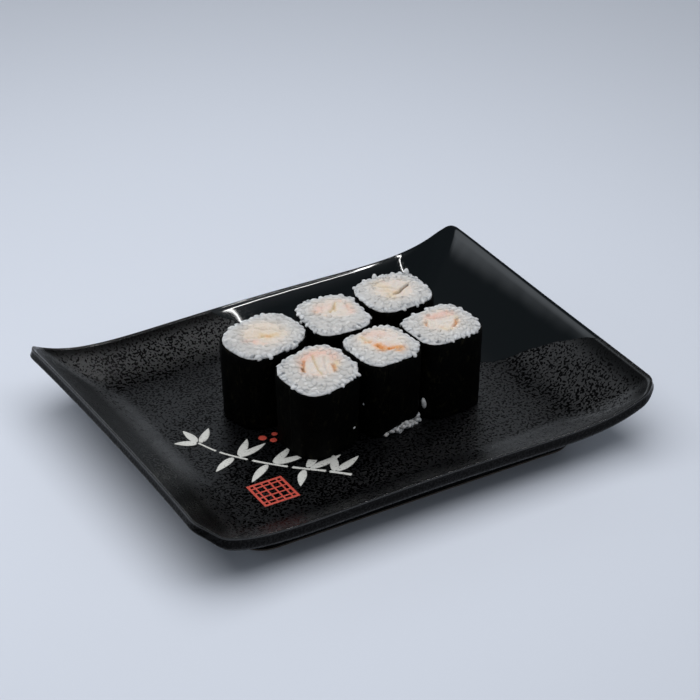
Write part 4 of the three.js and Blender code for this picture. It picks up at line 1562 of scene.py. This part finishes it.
class ROLLS_OT_seaweed(bpy.types.Operator):
    """Wraps each roll in its sheet of seaweed"""

    bl_idname = "rolls.add_seaweed"
    bl_label = "Add seaweed"

    def execute(self, context):
        plate, shared, finish = settings(context)
        material = seaweed_material(finish)
        for index in range(len(ROLLS)):
            sheet = make_seaweed(index, plate, shared, material)
            keep_piece(sheet, "seaweed", f"nori_{index + 1}")
        return {"FINISHED"}


class ROLLS_OT_rice(bpy.types.Operator):
    """Packs each roll with rice and lays grains over its cut"""

    bl_idname = "rolls.add_rice"
    bl_label = "Add rice"

    def execute(self, context):
        plate, shared, finish = settings(context)
        rice = context.scene.rolls_rice
        material = rice_material(finish)
        tree = grain_tree()
        for index in range(len(ROLLS)):
            rice_node = f"rice_{index + 1}"
            keep_piece(rice_core(index, plate, shared, rice, finish, material), "rice", rice_node)
            grains = make_grains(index, plate, shared, rice, finish, tree, material)
            keep_piece(grains, "rice", rice_node)
        return {"FINISHED"}


class ROLLS_OT_prawn(bpy.types.Operator):
    """Adds the prawn in the middle of each roll"""

    bl_idname = "rolls.add_prawn"
    bl_label = "Add prawn"

    def execute(self, context):
        plate, shared, finish = settings(context)
        material = prawn_material(finish)
        for index in range(len(ROLLS)):
            flesh = make_prawn(index, plate, shared, finish, material)
            keep_piece(flesh, "prawn", f"prawn_{index + 1}")
        return {"FINISHED"}


class ROLLS_OT_stage(bpy.types.Operator):
    """Adds the pale floor, the studio light and the camera"""

    bl_idname = "rolls.add_stage"
    bl_label = "Add stage"

    def execute(self, context):
        stage = context.scene.rolls_stage
        make_camera(stage)
        make_floor(context.scene.rolls_finishes)
        make_world(stage)
        make_panel(stage)
        make_lamp(stage)
        context.scene.view_settings.view_transform = "Standard"
        return {"FINISHED"}


class ROLLS_PT_panel(bpy.types.Panel):
    """Lists the steps that build the rolls and their plate"""

    bl_label = "Rolls"
    bl_idname = "ROLLS_PT_panel"
    bl_space_type = "VIEW_3D"
    bl_region_type = "UI"
    bl_category = "Rolls"

    def draw(self, context):
        for step in STEPS:
            self.layout.operator(step.bl_idname)


STEPS = (ROLLS_OT_plate, ROLLS_OT_decor, ROLLS_OT_seaweed, ROLLS_OT_rice, ROLLS_OT_prawn, ROLLS_OT_stage)
GROUPS = {
    "rolls_plate": PlateSizes,
    "rolls_sizes": RollSizes,
    "rolls_rice": RiceSizes,
    "rolls_finishes": Finishes,
    "rolls_stage": StageSettings,
}


def register():
    for kind in (*GROUPS.values(), *STEPS, ROLLS_PT_panel):
        bpy.utils.register_class(kind)
    for name, kind in GROUPS.items():
        setattr(bpy.types.Scene, name, bpy.props.PointerProperty(type=kind))


def unregister():
    for name in GROUPS:
        delattr(bpy.types.Scene, name)
    for kind in (ROLLS_PT_panel, *reversed(STEPS), *reversed(GROUPS.values())):
        bpy.utils.unregister_class(kind)


def main():
    register()
    bpy.ops.rolls.add_plate()
    bpy.ops.rolls.add_decor()
    bpy.ops.rolls.add_seaweed()
    bpy.ops.rolls.add_rice()
    bpy.ops.rolls.add_prawn()
    bpy.ops.rolls.add_stage()


if __name__ == "__main__":
    main()
